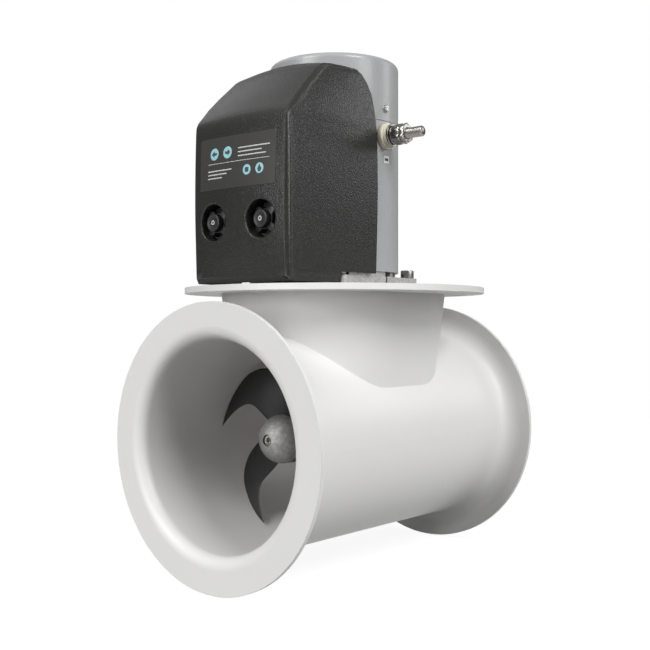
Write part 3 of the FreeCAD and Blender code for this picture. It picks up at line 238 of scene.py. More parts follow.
class FinishGraph(Graph):
    """The node tree of one material, with a Principled shader ready in it."""

    def __init__(self, name: str) -> None:
        """Make the material.

        Args:
            name: the material's name.
        """
        self.material = bpy.data.materials.new(name)
        self.material.use_nodes = True
        super().__init__(self.material.node_tree)
        self.shader = self.node("ShaderNodeBsdfPrincipled")
        lit = Channel(self, self.shader.outputs[0])
        self.node("ShaderNodeOutputMaterial", {}, {"Surface": lit})

    def set(self, **values: Value) -> None:
        """Feed the Principled shader.

        Args:
            values: what each socket gets, with underscores for the spaces in its name.
        """
        for name, value in values.items():
            if isinstance(value, tuple) and len(value) == 3:
                value = (*value, 1.0)
            self.feed(self.shader.inputs[name.replace("_", " ")], value)

    def place(self, stretch: Point = (1.0, 1.0, 1.0)) -> Channel:
        """The surface point in the object's own metres.

        Args:
            stretch: factors along the axes, which make a pattern finer.

        Returns:
            A vector channel.
        """
        where = self.out("ShaderNodeTexCoord", output="Object")
        if stretch == (1.0, 1.0, 1.0):
            return where
        return self.out("ShaderNodeVectorMath", {"operation": "MULTIPLY"}, {0: where, 1: stretch})

    def noise(self, size: float, detail: float = 3.0, stretch: Point = (1.0, 1.0, 1.0)) -> Channel:
        """A cloudy noise.

        Args:
            size: about how wide its blobs are, in metres.
            detail: how many finer layers it has.
            stretch: factors along the axes.

        Returns:
            A channel about 0.5.
        """
        return self.out(
            "ShaderNodeTexNoise",
            {"noise_dimensions": "3D"},
            {"Vector": self.place(stretch), "Scale": 1.0 / size, "Detail": detail, "Roughness": 0.55},
        )

    def cells(self, size: float, feature: str = "F1", warp: float = 0.0) -> Channel:
        """A pattern of cells.

        Args:
            size: about how wide a cell is, in metres.
            feature: what is measured in a cell.
            warp: how far its edges are bent, in cells.

        Returns:
            The measure as a channel.
        """
        where = self.place()
        if warp > 0.0:
            broad = {"Vector": where, "Scale": 1.0 / (size * 1.7), "Detail": 1.0}
            drift = self.out("ShaderNodeTexNoise", {}, broad, "Color")
            bent = self.out("ShaderNodeVectorMath", {"operation": "SCALE"}, {0: drift, "Scale": warp * size})
            where = self.out("ShaderNodeVectorMath", {"operation": "ADD"}, {0: where, 1: bent})
        inputs = {"Vector": where, "Scale": 1.0 / size}
        return self.out("ShaderNodeTexVoronoi", {"feature": feature}, inputs)

    def bump(self, height: Channel, depth: float, edge: float = 0.0) -> Channel:
        """A normal that follows a height channel.

        Args:
            height: 0 for low and 1 for high.
            depth: the height of 1, in metres.
            edge: radius over which sharp edges look rounded, or 0.

        Returns:
            A channel for the shader's Normal.
        """
        inputs: dict[Union[int, str], Value] = {"Height": height, "Distance": depth, "Strength": 1.0}
        if edge > 0.0:
            inputs["Normal"] = self.out("ShaderNodeBevel", {"samples": 4}, {"Radius": edge})
        return self.out("ShaderNodeBump", {}, inputs)


# ------------------------------------------------------------------------------------------
# Finishes
# ------------------------------------------------------------------------------------------
def shade(colour: Colour, by: float) -> Colour:
    """The colour, brighter or darker by a factor."""
    return (min(1.0, colour[0] * by), min(1.0, colour[1] * by), min(1.0, colour[2] * by))


@dataclass(frozen=True)
class Moulded:
    """A painted, moulded or gel-coated surface without metal.

    Attributes:
        name: the material's name.
        colour: its base colour.
        roughness: its middle roughness.
        coat: how it is broken up at a fine scale.
        grain: width of the coat's grain, in metres.
        depth: height of the coat's grain, in metres.
        mottle: how far the colour drifts, as a share.
        gloss: its specular level.
        clear: weight of a clear coat.
        edge: radius over which its sharp edges look rounded, in metres.
    """

    name: str
    colour: Colour
    roughness: float = 0.4
    coat: Coat = Coat.SMOOTH
    grain: float = 0.0012
    depth: float = 0.00004
    mottle: float = 0.04
    gloss: float = 0.5
    clear: float = 0.0
    edge: float = 0.0006

    def build(self) -> bpy.types.Material:
        """Make the material."""
        graph = FinishGraph(self.name)
        cloud = graph.noise(0.06, 4.0)
        speck = graph.noise(0.004, 2.0)
        tone = cloud * 0.7 + speck * 0.3
        base = tone.blend(shade(self.colour, 1 - self.mottle), shade(self.colour, 1 + self.mottle))
        graph.set(
            Base_Color=base,
            Roughness=tone * 0.14 + (self.roughness - 0.07),
            Specular_IOR_Level=self.gloss,
            Coat_Weight=self.clear,
            Coat_Roughness=0.12,
            Normal=graph.bump(self.relief(graph), self.depth, self.edge),
        )
        return graph.material

    def relief(self, graph: FinishGraph) -> Channel:
        """The fine height of the chosen coat.

        Args:
            graph: the finish's graph.

        Returns:
            A channel from 0 to about 1.
        """
        if self.coat is Coat.LEATHER:
            ridges = graph.cells(self.grain, "DISTANCE_TO_EDGE", 0.9).ramp(0.0, 0.32)
            broad = graph.cells(self.grain * 2.6, "SMOOTH_F1", 0.6)
            return ridges * 0.6 + broad * 0.4
        if self.coat is Coat.ORANGE_PEEL:
            return graph.noise(self.grain, 1.5)
        if self.coat is Coat.SANDED:
            return graph.noise(self.grain * 0.35, 4.0)
        return graph.noise(0.012, 2.0)


@dataclass(frozen=True)
class CastMetal:
    """A rough cast metal with pits and a darker skin in its hollows.

    Attributes:
        name: the material's name.
        colour: its brighter colour.
        roughness: its lowest roughness.
        pit: width of a pit, in metres.
        depth: depth of a pit, in metres.
        skin: how much darker the skin is, as a share.
        edge: radius over which its sharp edges look rounded, in metres.
    """

    name: str
    colour: Colour
    roughness: float = 0.5
    pit: float = 0.0018
    depth: float = 0.00018
    skin: float = 0.35
    edge: float = 0.0008

    def build(self) -> bpy.types.Material:
        """Make the material."""
        graph = FinishGraph(self.name)
        pits = graph.noise(self.pit, 4.0)
        blotch = graph.noise(self.pit * 9, 3.0)
        height = pits * 0.8 + graph.noise(self.pit * 4, 2.0) * 0.4
        tone = (pits * 0.6 + blotch * 0.4).ramp(0.32, 0.62)
        graph.set(
            Base_Color=tone.blend(shade(self.colour, 1 - self.skin), self.colour),
            Metallic=tone * 0.25 + 0.65,
            Roughness=(1 - tone) * 0.22 + self.roughness,
            Normal=graph.bump(height, self.depth, self.edge),
        )
        return graph.material


@dataclass(frozen=True)
class MachinedMetal:
    """A turned, ground or plated metal with fine tool lines.

    Attributes:
        name: the material's name.
        colour: its base colour.
        roughness: its middle roughness.
        line: width of a tool line, in metres.
        depth: depth of a tool line, in metres.
        along: stretch of the lines along the axes.
        edge: radius over which its sharp edges look rounded, in metres.
    """

    name: str
    colour: Colour
    roughness: float = 0.25
    line: float = 0.00035
    depth: float = 0.000006
    along: Point = (1.0, 1.0, 1.0)
    edge: float = 0.0003

    def build(self) -> bpy.types.Material:
        """Make the material."""
        graph = FinishGraph(self.name)
        lines = graph.noise(self.line, 2.0, self.along)
        smear = graph.noise(0.008, 3.0)
        graph.set(
            Base_Color=smear.blend(shade(self.colour, 0.86), shade(self.colour, 1.05)),
            Metallic=1.0,
            Roughness=smear * 0.18 + (self.roughness - 0.06),
            Normal=graph.bump(lines, self.depth, self.edge),
        )
        return graph.material


@dataclass(frozen=True)
class Flecked:
    """A dark fibre-filled composite with faint flecks and flow marks."""

    name: str
    colour: Colour
    roughness: float = 0.42

    def build(self) -> bpy.types.Material:
        """Make the material."""
        graph = FinishGraph(self.name)
        fibres = graph.noise(0.0011, 2.0, (1.0, 4.0, 1.0)).ramp(0.55, 0.75)
        flow = graph.noise(0.03, 3.0)
        graph.set(
            Base_Color=(fibres * 0.5 + flow * 0.3).blend(self.colour, shade(self.colour, 2.1)),
            Roughness=flow * 0.2 + (self.roughness - 0.1),
            Normal=graph.bump(fibres * 0.5 + flow * 0.5, 0.00003, 0.0006),
        )
        return graph.material


Finish = Union[Moulded, CastMetal, MachinedMetal, Flecked]
FINISHES: dict[str, Finish] = {
    "gelcoat": Moulded("gelcoat", (0.80, 0.795, 0.785), 0.42, Coat.ORANGE_PEEL, 0.006, 0.00003, 0.012),
    "cast_aluminium": CastMetal("cast_aluminium", (0.56, 0.555, 0.545), 0.5, 0.0016, 0.0002),
    "stainless": MachinedMetal("stainless", (0.33, 0.32, 0.30), 0.24),
    "bright_zinc": MachinedMetal("bright_zinc", (0.47, 0.46, 0.44), 0.3),
    "motor_paint": Moulded(
        "motor_paint", (0.375, 0.38, 0.385), 0.34, Coat.ORANGE_PEEL, 0.0016, 0.00002, 0.02, 0.5, 0.15
    ),
    "cream_nylon": Moulded("cream_nylon", (0.74, 0.70, 0.56), 0.38, mottle=0.03),
    "core_steel": MachinedMetal("core_steel", (0.24, 0.24, 0.25), 0.5, along=(1.0, 1.0, 12.0)),
    "enamelled_copper": MachinedMetal("enamelled_copper", (0.50, 0.20, 0.09), 0.35),
    "machined_steel": MachinedMetal("machined_steel", (0.58, 0.58, 0.58), 0.25),
    "copper": MachinedMetal("copper", (0.78, 0.42, 0.28), 0.28),
    "brass_plate": MachinedMetal("brass_plate", (0.76, 0.60, 0.32), 0.3),
    "carbon": Moulded("carbon", (0.05, 0.05, 0.052), 0.6, Coat.SANDED, 0.001),
    "bearing_steel": MachinedMetal("bearing_steel", (0.66, 0.66, 0.67), 0.15),
    "coupling_rubber": Moulded("coupling_rubber", (0.42, 0.05, 0.035), 0.5),
    "bronze": CastMetal("bronze", (0.60, 0.43, 0.24), 0.4, 0.0012, 0.0001),
    "seal_rubber": Moulded("seal_rubber", (0.025, 0.025, 0.025), 0.62, Coat.SANDED, 0.001),
    "gear_steel": MachinedMetal("gear_steel", (0.45, 0.45, 0.46), 0.3),
    "black_composite": Flecked("black_composite", (0.017, 0.017, 0.0175)),
    "anode_zinc": CastMetal("anode_zinc", (0.36, 0.352, 0.338), 0.5, 0.0032, 0.0003, 0.3),
    "cover_plastic": Moulded(
        "cover_plastic", (0.019, 0.0188, 0.018), 0.31, Coat.LEATHER, 0.0024, 0.00015, 0.03, 0.45
    ),
    "knob_plastic": Moulded("knob_plastic", (0.012, 0.012, 0.012), 0.42, Coat.SANDED, 0.001, 0.00002),
    "posts_plastic": Moulded("posts_plastic", (0.03, 0.03, 0.03), 0.5),
    "contactor_plastic": Moulded("contactor_plastic", (0.022, 0.022, 0.022), 0.35),
    "unit_plastic": Moulded("unit_plastic", (0.07, 0.07, 0.075), 0.45, Coat.SANDED),
}


class Paintbox:
    """Builds each finish once and hands out its material."""

    def __init__(self) -> None:
        """Start with no material made."""
        self.made: dict[str, bpy.types.Material] = {}

    def get(self, finish: Union[str, Finish]) -> bpy.types.Material:
        """The material of a finish, made when it is first asked for.

        Args:
            finish: a finish, or the name of one in FINISHES.

        Returns:
            Its material.
        """
        chosen = FINISHES[finish] if isinstance(finish, str) else finish
        if chosen.name not in self.made:
            self.made[chosen.name] = chosen.build()
        return self.made[chosen.name]

    def dress_frame(self) -> None:
        """Give every CAD node the finish of its record slot."""
        slots = {part["node"]: part["material_slot"] for part in frame["record"]["subparts"]}
        for node, obj in frame["nodes"].items():
            material = self.get(slots[node])
            obj.data.materials.clear()
            obj.data.materials.append(material)
        LOG.info("dressed %d nodes", len(slots))


PAINTS = Paintbox()


# ------------------------------------------------------------------------------------------
# Mesh tools
# ------------------------------------------------------------------------------------------
class Meshes:
    """Small builders of closed, smooth meshes."""

    @staticmethod
    def link(name: str, mesh: bmesh.types.BMesh, crease_angle: float = 35.0) -> bpy.types.Object:
        """Turn a bmesh into a smooth-shaded object whose sharper edges stay crisp.

        Args:
            name: the object's name.
            mesh: the bmesh, which is freed.
            crease_angle: edges sharper than this many degrees are marked.

        Returns:
            The linked object.
        """
        bmesh.ops.recalc_face_normals(mesh, faces=mesh.faces)
        for face in mesh.faces:
            face.smooth = True
        limit = math.radians(crease_angle)
        for edge in mesh.edges:
            edge.smooth = len(edge.link_faces) == 2 and edge.calc_face_angle(0.0) < limit
        data = bpy.data.meshes.new(name)
        mesh.to_mesh(data)
        mesh.free()
        obj = bpy.data.objects.new(name, data)
        bpy.context.scene.collection.objects.link(obj)
        return obj

    @staticmethod
    def grid(mesh: bmesh.types.BMesh, rows: Sequence[Sequence[Vector]], wrap: bool = False) -> None:
        """Add a skin of quads over rows of points.

        Args:
            mesh: the bmesh that gets the skin.
            rows: rows of points, all of one length.
            wrap: whether each row closes on itself.
        """
        verts = [[mesh.verts.new(point) for point in row] for row in rows]
        width = len(rows[0])
        for upper, lower in zip(verts, verts[1:]):
            for index in range(width if wrap else width - 1):
                after = (index + 1) % width
                mesh.faces.new((upper[index], upper[after], lower[after], lower[index]))

    @staticmethod
    def settle(mesh: bmesh.types.BMesh) -> None:
        """Put the elements of a mesh in the order of their places, which is the same each run."""
        for items in (mesh.verts, mesh.edges, mesh.faces):
            places = {}
            for item in items:
                points = [item.co] if isinstance(item, bmesh.types.BMVert) else [vert.co for vert in item.verts]
                places[item] = tuple(sum(point[axis] for point in points) / len(points) for axis in range(3))
            order = {item: rank for rank, item in enumerate(sorted(places, key=places.get))}
            items.sort(key=order.get)

    @staticmethod
    def cap(mesh: bmesh.types.BMesh) -> None:
        """Close every open border of a bmesh with one face each."""
        borders = [edge for edge in mesh.edges if edge.is_boundary]
        if borders:
            bmesh.ops.holes_fill(mesh, edges=borders, sides=0)

    @classmethod
    def sweep(cls, name: str, rings: Sequence[Sequence[Vector]], crease_angle: float = 35.0) -> bpy.types.Object:
        """Make a closed solid from rings, with a face over each end.

        Args:
            name: the object's name.
            rings: closed rings of points in metres, all of one length.
            crease_angle: edges sharper than this many degrees are marked.

        Returns:
            The new object.
        """
        mesh = bmesh.new()
        cls.grid(mesh, rings, wrap=True)
        cls.cap(mesh)
        return cls.link(name, mesh, crease_angle)

    @classmethod
    def lathe(
        cls,
        name: str,
        profile: Sequence[Pair],
        place: Matrix,
        segments: int = 72,
        shape: Optional[Shape] = None,
        closed: bool = False,
    ) -> bpy.types.Object:
        """Turn a profile about the local Z axis.

        Args:
            name: the object's name.
            profile: (radius, height) points in millimetres; open ends are filled.
            place: the matrix from the local frame to the row frame, in metres.
            segments: number of steps round the axis.
            shape: gives a new radius from (radius, height, angle), for what isn't round.
            closed: whether the profile's last point joins its first, as in a ring.

        Returns:
            The new object.
        """
        mesh = bmesh.new()
        rows = []
        for radius, height in [*profile, profile[0]] if closed else profile:
            ring = []
            for step in range(segments):
                angle = 2 * math.pi * step / segments
                reach = shape(radius, height, angle) if shape else radius
                ring.append(place @ (polar(reach, angle, height) * MM))
            rows.append(ring)
        cls.grid(mesh, rows, wrap=True)
        bmesh.ops.remove_doubles(mesh, verts=mesh.verts, dist=2e-6)
        cls.cap(mesh)
        return cls.link(name, mesh)

    @staticmethod
    def cut(piece: bpy.types.Object, tool: bpy.types.Object) -> None:
        """Cut one closed object out of another.

        Args:
            piece: the object that is cut.
            tool: the object that is taken out of it, and dropped.
        """
        change = piece.modifiers.new("cut", "BOOLEAN")
        change.operation, change.solver, change.object = "DIFFERENCE", "EXACT", tool
        graph = bpy.context.evaluated_depsgraph_get()
        mesh = bpy.data.meshes.new_from_object(piece.evaluated_get(graph))
        piece.modifiers.clear()
        piece.data = mesh
        bpy.data.objects.remove(tool)


def polar(radius: float, angle: float, height: float) -> Vector:
    """The point at a radius and an angle about Z, at a height."""
    return Vector((radius * math.cos(angle), radius * math.sin(angle), height))


def along(axis: Point, at: Point) -> Matrix:
    """The matrix that lays local Z along an axis from a point in metres."""
    turn = Vector(axis).to_track_quat("Z", "Y").to_matrix().to_4x4()
    return Matrix.Translation(Vector(at)) @ turn


def hexagon(radius: float, flats: float, angle: float) -> float:
    """The smaller of a radius and a hexagon's reach, with flats as its width across."""
    sixth = math.pi / 3
    return min(radius, flats / 2 / math.cos((angle + sixth / 2) % sixth - sixth / 2))


def six_sided(flats: float, above: float = -math.inf) -> Shape:
    """A lathe's shape that is a hexagon above a height and round below it.

    Args:
        flats: the hexagon's width across flats.
        above: the height where it starts.

    Returns:
        The shape.
    """

    def outline(radius: float, height: float, angle: float) -> float:
        """The hexagon's reach, or the radius below it."""
        return hexagon(radius, flats, angle) if height > above else radius

    return outline


class Assembly:
    """Base of the sub-assemblies: it finishes, sorts and reports their pieces."""

    def dress(
        self,
        piece: bpy.types.Object,
        body: Body,
        slot: str,
        finish: Optional[Finish] = None,
        replaces: Iterable[str] = (),
    ) -> None:
        """Give a piece its material and body, and hide the CAD nodes that it stands for.

        Args:
            piece: the new object.
            body: the body that it rides on.
            slot: the record's material slot.
            finish: its finish, when that isn't the slot's own.
            replaces: the CAD nodes that it stands for.
        """
        piece.data.materials.append(PAINTS.get(finish or slot))
        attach(piece, body.value)
        if replaces:
            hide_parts(*replaces)
        LOG.info("%s: %s, %d faces", type(self).__name__, piece.name, len(piece.data.polygons))

    def build(self) -> None:
        """Make every piece of the sub-assembly."""
        raise NotImplementedError


# ------------------------------------------------------------------------------------------
# Cover of the control gear
# ------------------------------------------------------------------------------------------
@dataclass(frozen=True)
class Course:
    """One row of the cover's front and roof, and how its edge band falls away.

    Attributes:
        points: places from the left border to the right one, in millimetres.
        out: the direction that the row faces.
        reach: how far the band goes outward at the side.
        drop: how far the band falls behind the row.
    """

    points: list[Vector]
    out: Vector
    reach: float
    drop: float


@dataclass
class ControlCover(Assembly):
    """The moulded cover: crowned front and roof, edge band, flared sides, knob recesses.

    All sizes are in millimetres. The crown is highest at crown_z, and the crease parts front and hip.
    """

    half_front: float = 54.2
    face_y: float = -130.9
    crown_z: float = 83.0
    crown_reach: float = 66.5
    crease_z: float = 141.0
    band_reach: float = 5.6
    band_drop: float = 5.3
    step_z: float = 17.6
    wall: float = 2.6
    motor_gap_radius: float = 63.4
    hip_top_y: float = -80.0
    knob_x: float = 29.0
    knob_z: float = 61.5
    block: float = 21.0
    block_steps: int = 12
    recess_lip: float = 16.9
    recess_inner: float = 16.1
    recess_depth: float = 12.6
    recess_floor_y: float = -134.4

    # (half width, y, z, band reach) of the bottom bevel's rows
    FOOT = ((58.4, -124.4, 7.6, 0.0), (55.2, -129.4, 11.3, 3.6), (54.5, -130.3, 11.8, 4.4))
    # (y, z, half width, crown, band reach, band drop)
    HIP = (
        (-131.0, 146.4, 54.2, 1.3, 3.8, 3.8),
        (-130.2, 150.4, 54.5, 1.4, 3.6, 3.6),
        (-128.0, 154.2, 54.7, 1.8, 3.6, 3.5),
        (-123.2, 159.2, 54.9, 2.3, 3.8, 3.5),
        (-115.7, 168.0, 54.4, 2.9, 4.0, 3.6),
        (-104.3, 179.5, 53.2, 3.5, 4.0, 3.6),
        (-92.4, 190.5, 51.8, 3.8, 4.0, 3.6),
        (-84.2, 198.0, 50.9, 3.8, 4.0, 3.4),
        (-79.6, 201.0, 50.5, 3.7, 4.0, 3.0),
        (-75.0, 202.5, 50.5, 3.6, 4.0, 2.7),
        (-66.0, 203.9, 50.8, 3.8, 4.0, 2.6),
        (-50.0, 204.9, 51.5, 4.1, 4.0, 2.5),
        (-37.4, 205.1, 52.2, 4.3, 4.0, 2.3),
    )
    # (y, z, half width) of the side's rear edge above the step
    REAR = (
        (-17.4, 140.0, 66.0),
        (-17.4, 152.0, 65.4),
        (-17.7, 160.0, 64.4),
        (-18.3, 172.0, 62.6),
        (-19.4, 182.0, 61.1),
        (-23.4, 191.4, 59.6),
        (-29.2, 199.0, 58.3),
        (-33.2, 201.8, 57.4),
        (-37.6, 202.9, 56.3),
    )
    # (share of the band's width, height over the straight line) across the grooved band
    BAND = ((0.06, -0.35), (0.14, -0.6), (0.5, -0.5), (0.66, -0.1), (0.76, 0.35), (0.86, 0.42), (0.95, 0.2))
    # shares of the side's depth where its columns stand; the foot's step is at STEP_SHARE
    STEP_SHARE = 0.545
    SHARES = (0.015, 0.06, 0.14, 0.25, 0.4, STEP_SHARE, 0.7, 0.85, 0.96, 1.0)

    def front_y(self, x: float, z: float) -> float:
        """The front face's y, crowned both ways.

        Args:
            x: the place across the front.
            z: its height.

        Returns:
            The face's y.
        """
        up = 1 - ((z - self.crown_z) / self.crown_reach) ** 2
        across = 1 - (x / self.half_front) ** 2
        return self.face_y - 1.3 * up - (0.7 + 3.0 * max(0.0, up)) * max(0.0, across)

    def columns(self) -> list[float]:
        """The places of the front's columns, finer beside the recesses.

        Returns:
            Each column's x, from left to right.
        """
        inner, outer = self.knob_x - self.block, self.knob_x + self.block
        steps = self.block_steps
        right = [inner * step / 3 for step in range(3)]
        right += [inner + (outer - inner) * step / steps for step in range(steps + 1)]
        right += [outer + 2.4, self.half_front]
        return [-x for x in reversed(right[1:])] + right

    def heights(self) -> list[float]:
        """The places of the front face's rows.

        Returns:
            Each row's z, from the bevel to the crease.
        """
        low, high = self.knob_z - self.block, self.knob_z + self.block
        steps = self.block_steps
        rows = [12.6, self.step_z, 24.0, 32.0]
        rows += [low + (high - low) * step / steps for step in range(steps + 1)]
        return rows + [91.0, 100.0, 112.0, 124.0, 134.0, self.crease_z]

    def courses(self) -> list[Course]:
        """Every row over the bottom bevel, the front, the hip and the roof.

        Returns:
            The rows from the lowest one to the roof's rear edge.
        """
        columns = self.columns()
        ahead = Vector((0, -1, 0))
        rows = []
        for half, y, z, reach in self.FOOT:
            points = [Vector((x * half / self.half_front, y, z)) for x in columns]
            rows.append(Course(points, ahead, reach, 1.25 * reach))
        for z in self.heights():
            away = ((z - self.crown_z) / self.crown_reach) ** 2
            narrower, lower = (-1.8, -1.5) if z > self.crown_z else (-0.9, 0.6)
            points = [Vector((x, self.front_y(x, z), z)) for x in columns]
            reach, drop = self.band_reach + narrower * away, self.band_drop + lower * away
            rows.append(Course(points, ahead, reach, drop))
        before = (self.front_y(self.half_front, self.crease_z), self.crease_z)
        for index, (y, z, half, crown, reach, drop) in enumerate(self.HIP):
            following = self.HIP[min(index + 1, len(self.HIP) - 1)]
            lean = Vector((0, following[0] - before[0], following[1] - before[1])).normalized()
            out = Vector((0, -lean.z, lean.y))
            row = []
            for x in columns:
                place = x / self.half_front * half
                point = Vector((place, y, z)) + out * crown * (1 - (place / half) ** 2)
                if y > self.hip_top_y:
                    edge = math.sqrt(self.motor_gap_radius**2 - place**2)
                    share = (y - self.hip_top_y) / (self.HIP[-1][0] - self.hip_top_y)
                    point.y = self.hip_top_y - (self.hip_top_y + edge) * share
                row.append(point)
            rows.append(Course(row, out, reach, drop))
            before = (y, z)
        return rows

    def skin(self) -> bmesh.types.BMesh:
        """Build the outer surface as one sheet, open at the back and below.

        Returns:
            The sheet.
        """
        mesh = bmesh.new()
        rows = self.courses()
        low = len(self.FOOT) + self.heights().index(self.knob_z - self.block)
        columns = self.columns()
        verts = [[mesh.verts.new(point * MM) for point in row.points] for row in rows]
        blocked = set()
        for side in (-1, 1):
            wanted = side * self.knob_x - self.block
            start = min(range(len(columns)), key=lambda n: abs(columns[n] - wanted))
            for row in range(low, low + self.block_steps):
                for column in range(start, start + self.block_steps):
                    blocked.add((row, column))
            self.recess(mesh, verts, low, start, side)
        for row in range(len(rows) - 1):
            for column in range(len(columns) - 1):
                if (row, column) not in blocked:
                    near, far = verts[row], verts[row + 1]
                    mesh.faces.new((near[column], near[column + 1], far[column + 1], far[column]))
        for side in (-1, 1):
            self.side(mesh, rows, [row[-1 if side > 0 else 0] for row in verts], side)
        return mesh

    def recess(
        self, mesh: bmesh.types.BMesh, verts: list[list[bmesh.types.BMVert]], low: int, start: int, side: int
    ) -> None:
        """Join a block's border to a round recess with a chamfered lip and a floor.

        Args:
            mesh: the bmesh of the cover.
            verts: the front's vertices by row and column.
            low: the block's lowest row.
            start: the block's first column.
            side: -1 for the left recess and 1 for the right one.
        """
        count = self.block_steps
        border = [verts[low][start + step] for step in range(count)]
        border += [verts[low + step][start + count] for step in range(count)]
        border += [verts[low + count][start + count - step] for step in range(count)]
        border += [verts[low + count - step][start] for step in range(count)]
        centre = Vector((side * self.knob_x, 0, self.knob_z))
        lip, inner, depth = self.recess_lip, self.recess_inner, self.recess_depth
        profile = [
            (lip + 1.4, 0.0),
            (lip + 0.35, 0.0),
            (lip + 0.1, 0.12),
            (lip - 0.35, 0.7),
            (lip - 0.5, 1.1),
            (inner, 3.4),
            (inner - 0.2, depth - 0.8),
            (inner - 1.0, depth),
            (9.0, depth),
            (4.8, depth),
        ]
        previous = border
        for radius, deep in profile:
            ring = []
            for vert in border:
                away = vert.co / MM - centre
                turn = math.atan2(away.z, away.x)
                x = centre.x + radius * math.cos(turn)
                z = centre.z + radius * math.sin(turn)
                face = self.front_y(x, z) if deep < 3 else self.recess_floor_y
                ring.append(mesh.verts.new(Vector((x, face + deep, z)) * MM))
            for step in range(4 * count):
                after = (step + 1) % (4 * count)
                mesh.faces.new((previous[step], previous[after], ring[after], ring[step]))
            previous = ring

    def side(
        self, mesh: bmesh.types.BMesh, rows: list[Course], edge: list[bmesh.types.BMVert], side: int
    ) -> None:
        """Add the edge band and the flared side behind it.

        Args:
            mesh: the bmesh of the cover.
            rows: the cover's courses.
            edge: the border vertices of the courses.
            side: -1 for the left side and 1 for the right one.
        """
        outers, lifts = [], []
        for row, vert in zip(rows, edge):
            across = Vector((side, 0, 0))
            outers.append(vert.co / MM + across * row.reach - row.out * row.drop)
            lifts.append((across * row.drop + row.out * row.reach).normalized())
        upright = len(self.FOOT) + len(self.heights())
        lengths = [0.0]
        for a, b in zip(outers[upright - 1 :], outers[upright:]):
            lengths.append(lengths[-1] + (b - a).length)
        rears = [self.low_rear(outer.z, side) for outer in outers[:upright]]
        rears += [self.high_rear(length / lengths[-1], side) for length in lengths[1:]]
        strip = [edge]
        for share, rise in self.BAND:
            line = []
            for row, vert, outer, lift in zip(rows, edge, outers, lifts):
                fade = min(1.0, row.reach / 3.6)
                line.append(mesh.verts.new((vert.co / MM).lerp(outer, share) * MM + lift * rise * fade * MM))
            strip.append(line)
        strip.append([mesh.verts.new(point * MM) for point in outers])
        for share in self.SHARES:
            line = []
            for outer, rear in zip(outers, rears):
                belly = math.sin(math.pi * share) * (1.0 if outer.z < self.crease_z - 1 else 1.6)
                dip = 0.5 * math.exp(-(((share - 0.04) / 0.03) ** 2))
                point = outer.lerp(rear, share) + Vector((side * (belly - dip), 0, 0))
                line.append(mesh.verts.new(point * MM))
            strip.append(line)
        first_full = len(self.FOOT) + self.heights().index(self.step_z)
        step_at = len(self.BAND) + 2 + self.SHARES.index(self.STEP_SHARE)
        for column in range(len(strip) - 1):
            for row in range(len(edge) - 1):
                if column >= step_at and row < first_full:
                    continue
                near, far = strip[column], strip[column + 1]
                mesh.faces.new((near[row], far[row], far[row + 1], near[row + 1]))

    @staticmethod
    def low_rear(z: float, side: int) -> Vector:
        """A point of the side's rear edge up to the crease.

        Args:
            z: its height.
            side: -1 for the left side and 1 for the right one.

        Returns:
            The point.
        """
        low = max(0.0, (70.0 - z) / 60.0)
        return Vector((side * (66.0 - 1.1 * low), -16.4 - 1.0 * abs(z - 95.0) / 60.0, z))

    def high_rear(self, share: float, side: int) -> Vector:
        """A point of the rear edge above the crease.

        Args:
            share: share of the edge's length from the crease to the roof.
            side: -1 for the left side and 1 for the right one.

        Returns:
            The point.
        """
        start = self.low_rear(self.REAR[0][1], side)
        line = [(start.y, start.z, abs(start.x)), *self.REAR[1:]]
        lengths = [math.dist(a, b) for a, b in zip(line, line[1:])]
        left = share * sum(lengths)
        for a, b, length in zip(line, line[1:], lengths):
            if left <= length + 1e-9:
                y, z, half = (p + (q - p) * left / length for p, q in zip(a, b))
                return Vector((side * half, y, z))
            left -= length
        y, z, half = line[-1]
        return Vector((side * half, y, z))

    def build(self) -> None:
        """Make the cover shell."""
        mesh = self.skin()
        bmesh.ops.remove_doubles(mesh, verts=mesh.verts, dist=1e-5)
        cover = Meshes.link("cover_shell", mesh, 32.0)
        thicken = cover.modifiers.new("wall", "SOLIDIFY")
        thicken.thickness = self.wall * MM
        thicken.offset = -1.0
        self.dress(cover, Body.HOUSING, "cover_plastic", replaces=["control_cover"])


